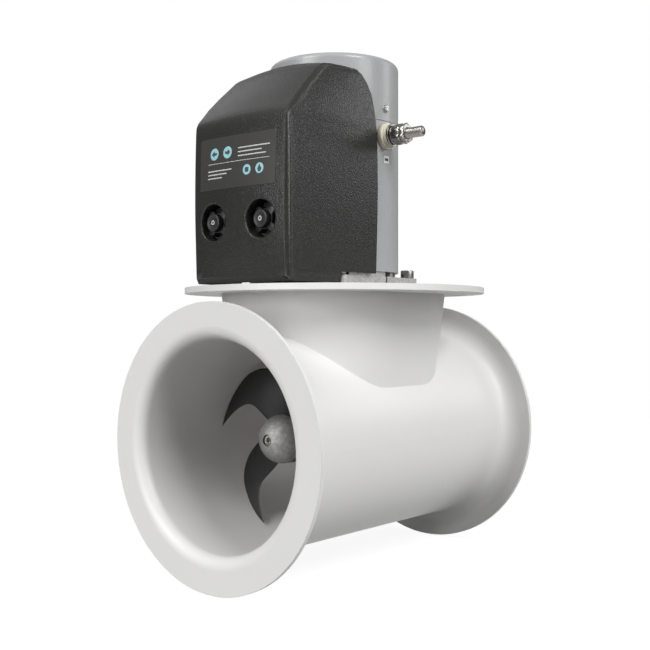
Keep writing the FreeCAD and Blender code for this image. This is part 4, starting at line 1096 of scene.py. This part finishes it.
# ------------------------------------------------------------------------------------------
# Knobs
# ------------------------------------------------------------------------------------------
@dataclass
class QuarterTurnKnobs(Assembly):
    """The two lobed knobs that lock the cover, each with a white ring mark."""

    disc: float = 7.8
    lobe_reach: float = 14.9
    waist: float = 9.0
    seat_y: float = -120.6
    lobe_top: float = 7.6
    face: float = 14.0

    def lobed(self, radius: float, height: float, angle: float) -> float:
        """The knob's outline: four lobes on the diagonals of a round body.

        Args:
            radius: the profile's radius.
            height: its height, which doesn't matter here.
            angle: the angle about the knob's axis.

        Returns:
            The new radius.
        """
        if radius <= self.disc + 0.5:
            return radius
        swell = max(0.0, math.cos(4 * (angle - math.pi / 4))) ** 0.6
        scale = (radius - self.disc) / (self.lobe_reach - self.disc)
        reach = self.waist + (self.lobe_reach - self.waist) * swell
        return self.disc + (reach - self.disc) * scale

    def build(self) -> None:
        """Make both knobs and their marks."""
        wide, disc, face, top = self.lobe_reach, self.disc, self.face, self.lobe_top
        body_profile = [
            (0.0, 0.2),
            (disc, 0.2),
            (wide - 0.6, 0.2),
            (wide, 0.9),
            (wide, top - 1.4),
            (wide - 0.4, top - 0.5),
            (wide - 1.3, top),
            (disc + 0.9, top + 0.2),
            (disc + 0.4, top + 0.3),
            (disc + 0.1, top + 0.8),
            (disc, face - 1.0),
            (disc - 0.25, face - 0.35),
            (disc - 0.9, face),
            (disc - 1.4, face - 0.05),
            (disc - 1.9, face - 0.3),
            (3.2, face - 0.42),
            (0.0, face - 0.45),
        ]
        ring_profile = [
            (1.05, face - 0.5),
            (1.1, face - 0.3),
            (1.3, face - 0.26),
            (1.9, face - 0.26),
            (2.1, face - 0.3),
            (2.15, face - 0.5),
        ]
        white = Moulded("mark_white", (0.62, 0.62, 0.61), 0.5)
        for body in (Body.LEFT_KNOB, Body.RIGHT_KNOB):
            name = body.value.split("_")[0]
            x, _, z = JOINTS[f"{name}_knob_turn"]["pos_m"]
            place = along((0, -1, 0), (x, self.seat_y * MM, z))
            knob = Meshes.lathe(f"{name}_cover_knob", body_profile, place, 128, self.lobed)
            self.dress(knob, body, "knob_plastic", replaces=[f"{name}_knob"])
            mark = Meshes.lathe(f"{name}_knob_mark", ring_profile, place, 48, closed=True)
            self.dress(mark, body, "knob_plastic", white)


# ------------------------------------------------------------------------------------------
# Label
# ------------------------------------------------------------------------------------------
@dataclass
class CoverLabel(Assembly):
    """A plain satin plate on the cover with generic signs, wrapped on the crowned front."""

    cover: ControlCover
    left: float = -46.2
    right: float = 46.2
    low: float = 90.2
    high: float = 136.4
    corner: float = 1.5
    plate_lift: float = 0.3
    print_lift: float = 0.34
    sign_lift: float = 0.37

    # (x, z, radius) of the discs, (x, z, side) of the arrows, and (left, right, z, half height) of the lines
    DISCS = ((-27, 122, 5.4), (-10, 122, 5.4), (29, 104.5, 4.6), (14.5, 104.5, 4.6))
    ARROWS = ((-27, 122, -1), (-10, 122, 1))
    DROP = ((29, 108.0), (31.3, 104.2), (30.6, 102.0), (29, 101.2), (27.4, 102.0), (26.7, 104.2))
    LINES = (
        (-35, 40, 113.2, 0.28),
        (3, 40, 124.5, 0.55),
        (3, 31, 121.0, 0.55),
        (3, 36, 117.5, 0.55),
        (-35, -4, 106.8, 0.55),
        (-35, -10, 103.6, 0.55),
        (-35, -16, 100.4, 0.55),
    )

    def wrap(self, x: float, z: float, lift: float) -> Vector:
        """A point over the cover's front, in metres."""
        return Vector((x, self.cover.front_y(x, z) - lift, z)) * MM

    def plate(
        self, name: str, outline: Sequence[Pair], lift: float, thick: float, spacing: float = 3.0
    ) -> bpy.types.Object:
        """A thin closed plate with any outline, wrapped on the front.

        Args:
            name: the object's name.
            outline: (x, z) corners in millimetres.
            lift: height of its top above the cover.
            thick: its thickness.
            spacing: the largest step of its mesh.

        Returns:
            The new object.
        """
        mesh = bmesh.new()
        flat = [mesh.verts.new(Vector((x, 0, z))) for x, z in outline]
        mesh.faces.new(flat)
        for axis, normal in ((0, Vector((1, 0, 0))), (1, Vector((0, 0, 1)))):
            start, end = min(point[axis] for point in outline), max(point[axis] for point in outline)
            count = int((end - start) / spacing)
            for step in range(1, count + 1):
                at = normal * (start + (end - start) * step / (count + 1))
                geometry = mesh.verts[:] + mesh.edges[:] + mesh.faces[:]
                bmesh.ops.bisect_plane(mesh, geom=geometry, plane_co=at, plane_no=normal, dist=1e-5)
        top = {vert: self.wrap(vert.co.x, vert.co.z, lift) for vert in mesh.verts}
        made = bmesh.ops.extrude_face_region(mesh, geom=mesh.faces[:])
        lower = [item for item in made["geom"] if isinstance(item, bmesh.types.BMVert)]
        for vert in lower:
            vert.co = self.wrap(vert.co.x, vert.co.z, lift - thick)
        for vert, point in top.items():
            vert.co = point
        Meshes.settle(mesh)
        return Meshes.link(name, mesh, 50.0)

    @staticmethod
    def rounded(left: float, right: float, low: float, high: float, corner: float) -> list[Pair]:
        """The outline of a rectangle with round corners.

        Args:
            left: its left side.
            right: its right side.
            low: its lower side.
            high: its upper side.
            corner: radius of its corners.

        Returns:
            (x, z) corners.
        """
        points = []
        spots = ((right, high, 0), (left, high, 90), (left, low, 180), (right, low, 270))
        for x, z, start in spots:
            cx = x - corner if x == right else x + corner
            cz = z - corner if z == high else z + corner
            for step in range(6):
                turn = math.radians(start + 18 * step)
                points.append((cx + corner * math.cos(turn), cz + corner * math.sin(turn)))
        return points

    @staticmethod
    def disc(x: float, z: float, radius: float, steps: int = 28) -> list[Pair]:
        """The outline of a disc."""
        turns = [2 * math.pi * step / steps for step in range(steps)]
        return [(x + radius * math.cos(turn), z + radius * math.sin(turn)) for turn in turns]

    def build(self) -> None:
        """Make the plate and its signs."""
        cyan = Moulded("print_cyan", (0.33, 0.62, 0.68), 0.5)
        white = Moulded("print_white", (0.60, 0.60, 0.59), 0.5)
        dark = Moulded("print_dark", (0.045, 0.05, 0.052), 0.5)
        grey = Moulded("label_grey", (0.042, 0.041, 0.0385), 0.34, mottle=0.02)
        border = self.rounded(self.left, self.right, self.low, self.high, self.corner)
        panel = self.plate("label_plate", border, self.plate_lift, 0.5)
        self.dress(panel, Body.HOUSING, "cover_plastic", grey)
        shapes: list[tuple[str, Sequence[Pair], Moulded, float]] = []
        for index, (x, z, radius) in enumerate(self.DISCS):
            shapes.append((f"label_disc_{index}", self.disc(x, z, radius), cyan, self.print_lift))
        for index, (x, z, side) in enumerate(self.ARROWS):
            tail = x - side * 3.2
            arrow = [(x + side * 3.6, z), (x, z + 3.0), (x, z + 1.1), (tail, z + 1.1), (tail, z - 1.1)]
            arrow += [(x, z - 1.1), (x, z - 3.0)]
            shapes.append((f"label_arrow_{index}", arrow, dark, self.sign_lift))
        shapes.append(("label_drop", self.DROP, dark, self.sign_lift))
        shapes.append(("label_square", self.rounded(12.4, 16.6, 102.4, 106.6, 0.8), dark, self.sign_lift))
        for index, (left, right, z, half) in enumerate(self.LINES):
            line = self.rounded(left, right, z - half, z + half, half * 0.9)
            shapes.append((f"label_line_{index}", line, white, self.print_lift))
        for name, outline, finish, lift in shapes:
            self.dress(self.plate(name, outline, lift, 0.3, 6.0), Body.HOUSING, "cover_plastic", finish)


# ------------------------------------------------------------------------------------------
# Electrical terminals and polarity stickers
# ------------------------------------------------------------------------------------------
@dataclass
class Terminals(Assembly):
    """At each side of the motor: cream bush, washers, two nuts and a threaded stud."""

    start: float = 48.4
    foot: float = 5.0
    foot_radius: float = 9.0
    thread_start: float = 82.0
    thread: float = 4.9
    thread_depth: float = 0.62
    pitch: float = 1.5
    tip: float = 105.0
    flats: float = 17.0

    WORDS = {1: "negative", -1: "positive"}
    # name: (slot, CAD node, (radius, distance from the motor's axis) points of its closed profile)
    STACK = {
        "bush": (
            "cream_nylon",
            "terminal_bushes",
            ((5.1, 53.5), (8.1, 53.5), (8.1, 62.45), (12.2, 62.45), (12.2, 66.2), (11.9, 66.7),
             (11.4, 66.9), (9.6, 66.95), (9.25, 67.2), (9.2, 69.9), (8.8, 70.35), (5.1, 70.35)),
        ),
        "flat_washer": (
            "stainless",
            "terminal_washers",
            ((5.2, 70.4), (10.2, 70.4), (10.5, 70.7), (10.5, 72.1), (10.2, 72.4), (5.2, 72.4)),
        ),
        "nut": (
            "stainless",
            "terminal_nuts",
            ((5.05, 74.8), (8.0, 74.8), (8.4, 74.9), (9.85, 75.75), (9.85, 82.4), (8.4, 83.3),
             (8.0, 83.4), (5.6, 83.4), (5.05, 82.9)),
        ),
        "lock_nut": (
            "bright_zinc",
            "terminal_nuts",
            ((5.05, 84.3), (5.5, 83.9), (8.0, 83.9), (9.85, 84.8), (9.85, 87.4), (8.4, 88.2),
             (5.5, 88.3), (5.05, 87.9)),
        ),
    }
    SPRING = ((5.2, 72.75), (8.6, 72.75), (8.8, 72.95), (8.8, 74.25), (8.6, 74.45), (5.2, 74.45))

    def lathed(self, name: str, side: int) -> None:
        """Turn one piece of the stack about the terminal's axis and dress it.

        Args:
            name: the piece's name in STACK.
            side: 1 for the right terminal and -1 for the left one.
        """
        slot, node, profile = self.STACK[name]
        shape = six_sided(self.flats) if name.endswith("nut") else None
        piece = Meshes.lathe(f"{self.WORDS[side]}_{name}", profile, self.axis(side, node), 72, shape, True)
        self.dress(piece, Body.HOUSING, slot, replaces=[node])

    @staticmethod
    def axis(side: int, node: str) -> Matrix:
        """The matrix of a side's axis, at the height of a CAD node."""
        low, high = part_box(node)
        return along((side, 0, 0), (0, 0, (low.z + high.z) / 2))

    def stud(self, side: int) -> None:
        """Make the threaded stud, with a real helical groove and a chamfered end.

        Args:
            side: 1 for the right terminal and -1 for the left one.
        """
        per_turn, round_steps = 10, 40
        place = self.axis(side, "terminal_studs")
        foot_end = self.start + self.foot
        step = self.pitch / per_turn
        heights = [self.start, foot_end, foot_end + 0.01, self.thread_start]
        turns = int((self.tip - self.thread_start) / step)
        heights += [self.thread_start + step * (n + 1) for n in range(turns)]
        heights.append(self.tip)
        rings = []
        for height in heights:
            ring = []
            for index in range(round_steps):
                turn = index / round_steps
                wave = abs(((height / self.pitch - turn) % 1.0) * 2 - 1)
                radius = self.foot_radius if height <= foot_end else self.thread
                if height > self.thread_start:
                    radius = self.thread - self.thread_depth * (1 - min(1.0, wave * 1.35))
                radius = min(radius, self.thread - 1.0 + self.tip - height)
                ring.append(place @ (polar(radius, 2 * math.pi * turn, height) * MM))
            rings.append(ring)
        piece = Meshes.sweep(f"{self.WORDS[side]}_stud", rings, 50.0)
        self.dress(piece, Body.HOUSING, "stainless", replaces=["terminal_studs"])

    def spring_washer(self, side: int) -> None:
        """Make the split ring whose ends stand apart.

        Args:
            side: 1 for the right terminal and -1 for the left one.
        """
        place = self.axis(side, "terminal_studs")
        rings = []
        for step in range(61):
            angle = math.radians(264 + 352 * step / 60)
            shift = 0.25 * (step / 30 - 1)
            rings.append([place @ (polar(radius, angle, height + shift) * MM) for radius, height in self.SPRING])
        piece = Meshes.sweep(f"{self.WORDS[side]}_spring_washer", rings, 30.0)
        self.dress(piece, Body.HOUSING, "stainless", replaces=["terminal_spring_washers"])

    def build(self) -> None:
        """Make both stacks."""
        for side in (1, -1):
            self.lathed("bush", side)
            self.lathed("flat_washer", side)
            self.spring_washer(side)
            self.lathed("nut", side)
            self.lathed("lock_nut", side)
            self.stud(side)


@dataclass
class PolarityStickers(Assembly):
    """A small white sticker with a plain sign below each terminal."""

    radius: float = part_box("motor_casing")[1].x / MM
    angle: float = 1.6
    middle: float = 125.1
    wide: float = 8.4
    tall: float = 7.0
    bar_half: float = 2.7
    bar_thin: float = 1.2

    def patch(self, name: str, side: int, across: Pair, up: Pair, lift: float) -> bpy.types.Object:
        """A thin closed patch on the motor's wall.

        Args:
            name: the object's name.
            side: 1 for the right of the motor and -1 for the left.
            across: its ends round the motor, in millimetres from its middle.
            up: its lower and upper end from its middle.
            lift: height of its top over the wall.

        Returns:
            The new object.
        """
        mesh = bmesh.new()
        steps, under = 6, 0.01
        rows = []
        for height, over in ((up[0], under), (up[0], lift), (up[1], lift), (up[1], under)):
            row = []
            for step in range(steps + 1):
                arc = (across[0] + (across[1] - across[0]) * step / steps) / self.radius
                turn = math.radians(self.angle) + arc
                row.append(polar(side * (self.radius + over), turn, self.middle + height) * MM)
            rows.append(row)
        Meshes.grid(mesh, [*rows, rows[0]])
        bmesh.ops.remove_doubles(mesh, verts=mesh.verts, dist=1e-6)
        Meshes.cap(mesh)
        return Meshes.link(name, mesh, 40.0)

    def build(self) -> None:
        """Make both stickers with a minus and a plus sign."""
        paper = Moulded("sticker_white", (0.95, 0.95, 0.94), 0.35, mottle=0.01)
        ink = Moulded("sticker_ink", (0.012, 0.012, 0.012), 0.45)
        half, high = self.wide / 2, self.tall / 2
        long, thin = (-self.bar_half, self.bar_half), (-self.bar_thin, self.bar_thin)
        for side, word in ((1, "minus"), (-1, "plus")):
            sheet = self.patch(f"sticker_{word}", side, (-half, half), (-high, high), 0.18)
            self.dress(sheet, Body.HOUSING, "cream_nylon", paper)
            bar = self.patch(f"sign_{word}_bar", side, long, thin, 0.26)
            self.dress(bar, Body.HOUSING, "seal_rubber", ink)
            if side < 0:
                upright = self.patch("sign_plus_upright", side, thin, long, 0.28)
                self.dress(upright, Body.HOUSING, "seal_rubber", ink)


# ------------------------------------------------------------------------------------------
# Screws
# ------------------------------------------------------------------------------------------
@dataclass
class OuterScrews(Assembly):
    """The bright hexagon-head screws of the end cap and the cap screws of the bracket."""

    head_flats: float = 6.2
    collar_top: float = 62.955
    cap_radius: float = 6.4
    cap_height: float = 8.0
    key_flats: float = 5.0
    knurls: int = 36
    knurl_depth: float = 0.14

    # (radius, distance from the motor's axis) of an end-cap screw: shank, collar and head
    RADIAL = (
        (0.0, 53.4), (1.8, 53.4), (1.8, 62.38), (3.3, 62.42), (3.45, 62.6), (3.45, 62.8), (3.25, 62.95),
        (3.25, 62.96), (3.6, 62.97), (3.6, 64.4), (3.05, 64.85), (2.6, 65.0), (1.4, 64.9), (0.0, 64.85),
    )

    def end_cap(self) -> None:
        """Make four radial screws with chamfered hexagon heads on small round collars."""
        low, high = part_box("end_cap_screws")
        head = six_sided(self.head_flats, self.collar_top)
        for index in range(4):
            turn = math.pi / 2 * index
            place = along((math.cos(turn), math.sin(turn), 0), (0, 0, (low.z + high.z) / 2))
            piece = Meshes.lathe(f"end_cap_screw_{index}", self.RADIAL, place, 72, head)
            self.dress(piece, Body.HOUSING, "bright_zinc", replaces=["end_cap_screws"])

    def bracket(self) -> None:
        """Make four cap screws with a knurled head and a hexagon socket."""
        low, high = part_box("bracket_screws")
        reach = (high.x - low.x) / 2 / MM - self.cap_radius
        top = high.z / MM
        base = top - self.cap_height
        rim, shank = self.cap_radius, 4.0

        def outline(radius: float, height: float, angle: float) -> float:
            """The head's knurled wall, and the key's hexagon inside."""
            if radius > rim - 0.01:
                return radius - self.knurl_depth * (0.5 - 0.5 * math.cos(angle * self.knurls))
            return hexagon(radius, self.key_flats, angle) if radius <= 3.0 and height > base else radius

        profile = [
            (0.0, top - 4.2), (2.95, top - 4.2), (2.95, top - 0.3), (3.35, top), (rim - 0.7, top),
            (rim - 0.2, top - 0.3), (rim, top - 0.8), (rim, base + 0.6), (rim - 0.3, base + 0.02),
            (shank, base + 0.02), (shank, low.z / MM), (0.0, low.z / MM),
        ]
        for index, (x, y) in enumerate(((1, 1), (-1, 1), (-1, -1), (1, -1))):
            place = Matrix.Translation(Vector((x * reach, y * reach, 0)) * MM)
            piece = Meshes.lathe(f"bracket_screw_{index}", profile, place, 144, outline)
            self.dress(piece, Body.HOUSING, "stainless", replaces=["bracket_screws"])

    def build(self) -> None:
        """Make all the screws."""
        self.end_cap()
        self.bracket()


# ------------------------------------------------------------------------------------------
# Propeller and the screw of its anode
# ------------------------------------------------------------------------------------------
@dataclass
class Propeller(Assembly):
    """The hub and its five skewed blades with smoothly rounded edges.

    All sizes are in millimetres and y places are from the motor's axis. lead is the blades' pitch in one turn.
    """

    blades: int = 5
    root_thick: float = 7.0
    tip_thick: float = 1.8
    hub: float = 22.4
    bore: float = 6.02
    recess: float = 12.5
    recess_depth: float = 10.6
    slot: Point = (37.0, 6.5, 6.1)
    edge: float = 0.5
    front: float = -73.6
    rear: float = -36.5
    tip_front: float = -65.0
    lead: float = 150.0
    tip_angle: float = 178.0

    # (radius, degrees behind the tip) along the two edges of a blade
    TRAILING = (
        (19.5, 19.0), (37.0, 20.0), (48.0, 22.0), (57.0, 23.4), (64.0, 23.2), (70.0, 21.0), (75.0, 17.0),
        (79.0, 12.9), (83.0, 8.4), (86.5, 4.4), (89.4, 1.0),
    )
    LEADING = (
        (19.5, 61.6), (28.0, 65.0), (37.0, 67.3), (46.0, 67.6), (55.0, 65.2), (64.0, 60.6), (72.0, 55.6),
        (78.0, 51.2), (83.0, 46.4), (86.4, 41.8), (88.4, 37.4), (89.2, 33.6), (89.4, 29.5),
    )

    @staticmethod
    def on_edge(edge: Sequence[Pair], radius: float) -> float:
        """The angle of an edge at a radius, by a smooth curve through its points.

        Args:
            edge: (radius, degrees) points, from the hub outwards.
            radius: where the angle is wanted, in millimetres.

        Returns:
            The angle in degrees behind the tip.
        """
        last = len(edge) - 1
        place = min(next((n for n in range(last) if radius <= edge[n + 1][0]), last - 1), last - 1)

        def slope(index: int) -> float:
            """The slope of the curve at one of its points."""
            before, after = edge[max(index - 1, 0)], edge[min(index + 1, last)]
            return (after[1] - before[1]) / (after[0] - before[0])

        (start, low), (end, high) = edge[place], edge[place + 1]
        wide = end - start
        share = min(1.0, max(0.0, (radius - start) / wide))
        square, cube = share**2, share**3
        ends = low * (2 * cube - 3 * square + 1) + high * (3 * square - 2 * cube)
        slopes = slope(place) * (cube - 2 * square + share) + slope(place + 1) * (cube - square)
        return ends + slopes * wide

    def blade(self, number: int, turn: float) -> None:
        """Make one blade as a skin round lens-shaped sections.

        Args:
            number: the blade's number, for its name.
            turn: its angle round the shaft, in degrees.
        """
        levels, steps = 36, 40
        rings = []
        root, tip = self.TRAILING[0][0], self.TRAILING[-1][0]
        for level in range(levels + 1):
            radius = root + (tip - root) * math.sin(math.pi / 2 * level / levels)
            rear, ahead = self.on_edge(self.TRAILING, radius), self.on_edge(self.LEADING, radius)
            share = (radius - root) / (tip - root)
            thick = self.root_thick - (self.root_thick - self.tip_thick) * share
            ring = []
            for step in range(steps):
                phase = 2 * math.pi * step / steps
                behind = rear + (ahead - rear) * (1 - math.cos(phase)) / 2
                angle = math.radians(self.tip_angle - behind - turn)
                y = self.tip_front + self.lead * behind / 360 + thick / 2 * math.sin(phase)
                ring.append(Vector((radius * math.cos(angle), y, radius * math.sin(angle) + TUNNEL_Z / MM)) * MM)
            rings.append(ring)
        piece = Meshes.sweep(f"propeller_blade_{number}", rings, 50.0)
        self.dress(piece, Body.PROPELLER, "black_composite", replaces=["propeller"])

    def build(self) -> None:
        """Make the hub with its nut recess and pin slot, and the blades."""
        place, edge, inner = along((0, 1, 0), (0, 0, TUNNEL_Z)), self.edge, self.front + self.recess_depth
        profile = [
            (self.bore, self.rear), (self.hub - edge, self.rear), (self.hub, self.rear - edge),
            (self.hub, self.front + edge), (self.hub - edge, self.front), (self.recess, self.front),
            (self.recess, inner), (self.bore, inner),
        ]
        hub = Meshes.lathe("propeller_hub", profile, place, 96, closed=True)
        wide, deep, tall = self.slot[0] / 2, self.slot[1], self.slot[2] / 2
        corners = ((-wide, -tall), (wide, -tall), (wide, tall), (-wide, tall))
        ends = (self.rear - deep, self.rear + 1.0)
        rings = [[Vector((x, y, z + TUNNEL_Z / MM)) * MM for x, z in corners] for y in ends]
        Meshes.cut(hub, Meshes.sweep("slot", rings))
        self.dress(hub, Body.PROPELLER, "black_composite", replaces=["propeller"])
        for number in range(self.blades):
            self.blade(number, 360.0 / self.blades * number)


@dataclass
class AnodeScrew(Assembly):
    """The socket-head screw in the anode's nose, its head near the rim of its seat."""

    length: float = 24.0
    socket_depth: float = 3.0
    chamfer: float = 0.5
    seat: float = -87.0
    face: float = -93.4
    head: float = 5.05
    flats: float = 5.0
    shank: float = 3.0

    def build(self) -> None:
        """Make the screw."""
        socket = self.flats / 2 / math.cos(math.pi / 6)
        edge, end = self.chamfer, self.seat + self.length
        profile = [
            (0.0, self.face + self.socket_depth), (socket, self.face + self.socket_depth), (socket, self.face + 0.2),
            (socket + 0.2, self.face), (self.head - edge, self.face), (self.head, self.face + edge),
            (self.head, self.seat), (self.shank, self.seat), (self.shank, end - edge), (0.0, end),
        ]

        def outline(radius: float, height: float, angle: float) -> float:
            """The radius, flattened to a hexagon inside the socket."""
            inside = 0.0 < radius <= socket and height < self.seat
            return hexagon(radius, self.flats, angle) if inside else radius

        screw = Meshes.lathe("anode_cap_screw", profile, along((0, 1, 0), (0, 0, TUNNEL_Z)), 72, outline)
        self.dress(screw, Body.PROPELLER, "stainless", replaces=["anode_screw"])


# ------------------------------------------------------------------------------------------
# Painted shade in the motor's joint gap and fillets of the mouth flanges
# ------------------------------------------------------------------------------------------
@dataclass
class HousingDetails(Assembly):
    """A dark ring that paints the shade in the gap between the motor's tube and cap, and the flanges' wide fillets.
    """

    fillet: float = 17.0
    tube: float = 97.5
    flange_back: float = 161.5
    sunk: float = 0.3
    line_height: float = 0.5
    line_depth: float = 0.6
    arc_steps: int = 12

    def painted_joint_shade(self) -> None:
        """Make the thin dark ring that paints the shade in the gap where the motor's tube and cap meet."""
        low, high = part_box("motor_end_cap")
        radius, seam, half = high.x / MM, low.z / MM, self.line_height / 2
        inner = radius - self.line_depth
        profile = [
            (inner, seam - half), (radius + 0.03, seam - half), (radius + 0.06, seam),
            (radius + 0.03, seam + half), (inner, seam + half),
        ]
        line = Meshes.lathe("motor_joint_painted_shade", profile, Matrix.Identity(4), 160, closed=True)
        # painted shade: this dark ring stands for the shadow in the gap between the motor's tube and cap
        dark = Moulded("joint_shadow", (0.05, 0.05, 0.052), 0.7)
        self.dress(line, Body.HOUSING, "motor_paint", dark)

    def flange_fillets(self) -> None:
        """Make the ring that rounds off the corner behind each mouth flange."""
        outer, back = self.tube + self.fillet, self.flange_back - self.fillet
        inner, front = self.tube - 0.4, self.flange_back + self.sunk
        profile = [(inner, back), (inner, front), (outer, front)]
        for step in range(self.arc_steps + 1):
            angle = math.pi / 2 * (1 - step / self.arc_steps)
            profile.append((outer - self.fillet * math.cos(angle), back + self.fillet * math.sin(angle)))
        for side, word in ((-1, "front"), (1, "rear")):
            place = along((0, side, 0), (0, 0, TUNNEL_Z))
            piece = Meshes.lathe(f"{word}_flange_fillet", profile, place, 180, closed=True)
            self.dress(piece, Body.HOUSING, "gelcoat")

    def build(self) -> None:
        """Make the ring of painted joint shade and both fillets."""
        self.painted_joint_shade()
        self.flange_fillets()


# ------------------------------------------------------------------------------------------
# Stage
# ------------------------------------------------------------------------------------------
@dataclass
class Stage:
    """The floor, the world, the soft lamps and the camera."""

    camera_at: Point = (0.617395, -0.742967, -0.029744)
    camera_turn: float = 40.254
    lens: float = 54.785
    sky: float = 0.02
    low_gloss: float = 0.18
    high_gloss: float = 0.6
    gloss_from: float = -0.1
    gloss_to: float = 0.9
    floor_white: float = 0.22
    floor_glow: float = 0.90
    floor_half: float = 1.6
    floor_steps: int = 24
    aim: Point = (0.0, 0.0, -0.02)

    # (name, place, side of its square, watts)
    LAMPS = (
        ("front_low", (-0.61, -4.36, 0.94), 1.8, 66.0),
        ("front_high", (-0.49, -3.51, 2.77), 1.8, 104.0),
        ("right_high", (3.49, -0.62, 2.77), 1.8, 128.0),
        ("right_low", (4.35, 0.5, 0.94), 1.8, 46.0),
        ("back_right", (2.3, 3.3, 1.5), 1.4, 18.0),
        ("left_high", (-3.3, 0.6, 2.9), 1.6, 6.0),
    )

    def floor(self) -> None:
        """Make a pale floor that holds the shadow and melts into the background."""
        mesh = bmesh.new()
        half, steps, level = self.floor_half, self.floor_steps, CAD_LOW[2] - 0.0005
        places = [-half + 2 * half * step / steps for step in range(steps + 1)]
        Meshes.grid(mesh, [[Vector((x, y, level)) for x in places] for y in places])
        floor = Meshes.link("studio_floor", mesh)
        graph = FinishGraph("studio_floor")
        seen = self.seen_by(graph, "Is Camera Ray", "Is Glossy Ray")
        white = self.floor_white
        graph.set(Base_Color=(white, white, white), Roughness=0.9, Specular_IOR_Level=0.0)
        graph.set(Emission_Color=seen.blend((0.0, 0.0, 0.0), (1.0, 1.0, 1.0)), Emission_Strength=self.floor_glow)
        floor.data.materials.append(graph.material)

    @staticmethod
    def seen_by(graph: Graph, first: str, second: str) -> Channel:
        """A channel that is 1 for rays of either of two kinds.

        Args:
            graph: the graph that gets the nodes.
            first: one output of Light Path.
            second: another one.

        Returns:
            The channel.
        """
        either, other = (graph.out("ShaderNodeLightPath", output=kind) for kind in (first, second))
        return graph.out("ShaderNodeMath", {"operation": "MAXIMUM"}, {0: either, 1: other})

    def world(self) -> None:
        """Make the world: white to the camera, a faint even light, and a reflection that is brighter above."""
        world = bpy.data.worlds.new("studio")
        world.use_nodes = True
        bpy.context.scene.world = world
        graph = Graph(world.node_tree)
        where = graph.out("ShaderNodeTexCoord", output="Generated")
        height = graph.out("ShaderNodeSeparateXYZ", {}, {0: where}, "Z")
        levels = {
            "Value": height,
            "From Min": self.gloss_from,
            "From Max": self.gloss_to,
            "To Min": self.low_gloss,
            "To Max": self.high_gloss,
        }
        light = graph.out("ShaderNodeBackground", {}, {"Strength": self.sky})
        gloss = graph.out("ShaderNodeBackground", {}, {"Strength": graph.out("ShaderNodeMapRange", {}, levels)})
        white = graph.out("ShaderNodeBackground", {}, {"Color": WHITE})
        glossy = graph.out("ShaderNodeLightPath", output="Is Glossy Ray")
        lit = graph.out("ShaderNodeMixShader", {}, {0: glossy, 1: light, 2: gloss})
        clear = self.seen_by(graph, "Is Camera Ray", "Is Transmission Ray")
        seen = graph.out("ShaderNodeMixShader", {}, {0: clear, 1: lit, 2: white})
        graph.node("ShaderNodeOutputWorld", {}, {"Surface": seen})

    @staticmethod
    def lamp(name: str, at: Point, aim: Point, size: float, watts: float) -> None:
        """Add one soft area lamp.

        Args:
            name: the lamp's name.
            at: its place, in metres.
            aim: the point that it faces.
            size: the side of its square.
            watts: its power.
        """
        data = bpy.data.lights.new(name, "AREA")
        data.energy = watts
        data.size = size
        obj = bpy.data.objects.new(name, data)
        obj.location = at
        obj.rotation_euler = (Vector(aim) - Vector(at)).to_track_quat("-Z", "Y").to_euler()
        bpy.context.scene.collection.objects.link(obj)

    def camera(self) -> None:
        """Add the camera, level and to the right of the front."""
        data = bpy.data.cameras.new("camera")
        data.lens = self.lens
        data.sensor_width = 36.0
        obj = bpy.data.objects.new("camera", data)
        obj.location = self.camera_at
        obj.rotation_euler = (math.radians(90), 0.0, math.radians(self.camera_turn))
        bpy.context.scene.collection.objects.link(obj)
        bpy.context.scene.camera = obj

    def build(self) -> None:
        """Make the stage."""
        self.floor()
        self.world()
        for name, at, size, watts in self.LAMPS:
            self.lamp(name, at, self.aim, size, watts)
        self.camera()
        bpy.context.scene.view_settings.view_transform = "Standard"


def main() -> None:
    """Dress the frame, build every sub-assembly and build the stage."""
    PAINTS.dress_frame()
    cover = ControlCover()
    for assembly in (
        cover,
        CoverLabel(cover),
        QuarterTurnKnobs(),
        Terminals(),
        PolarityStickers(),
        OuterScrews(),
        HousingDetails(),
        Propeller(),
        AnodeScrew(),
    ):
        assembly.build()
    Stage().build()


if __name__ == "__main__":
    logging.basicConfig(level=logging.INFO)
    main()
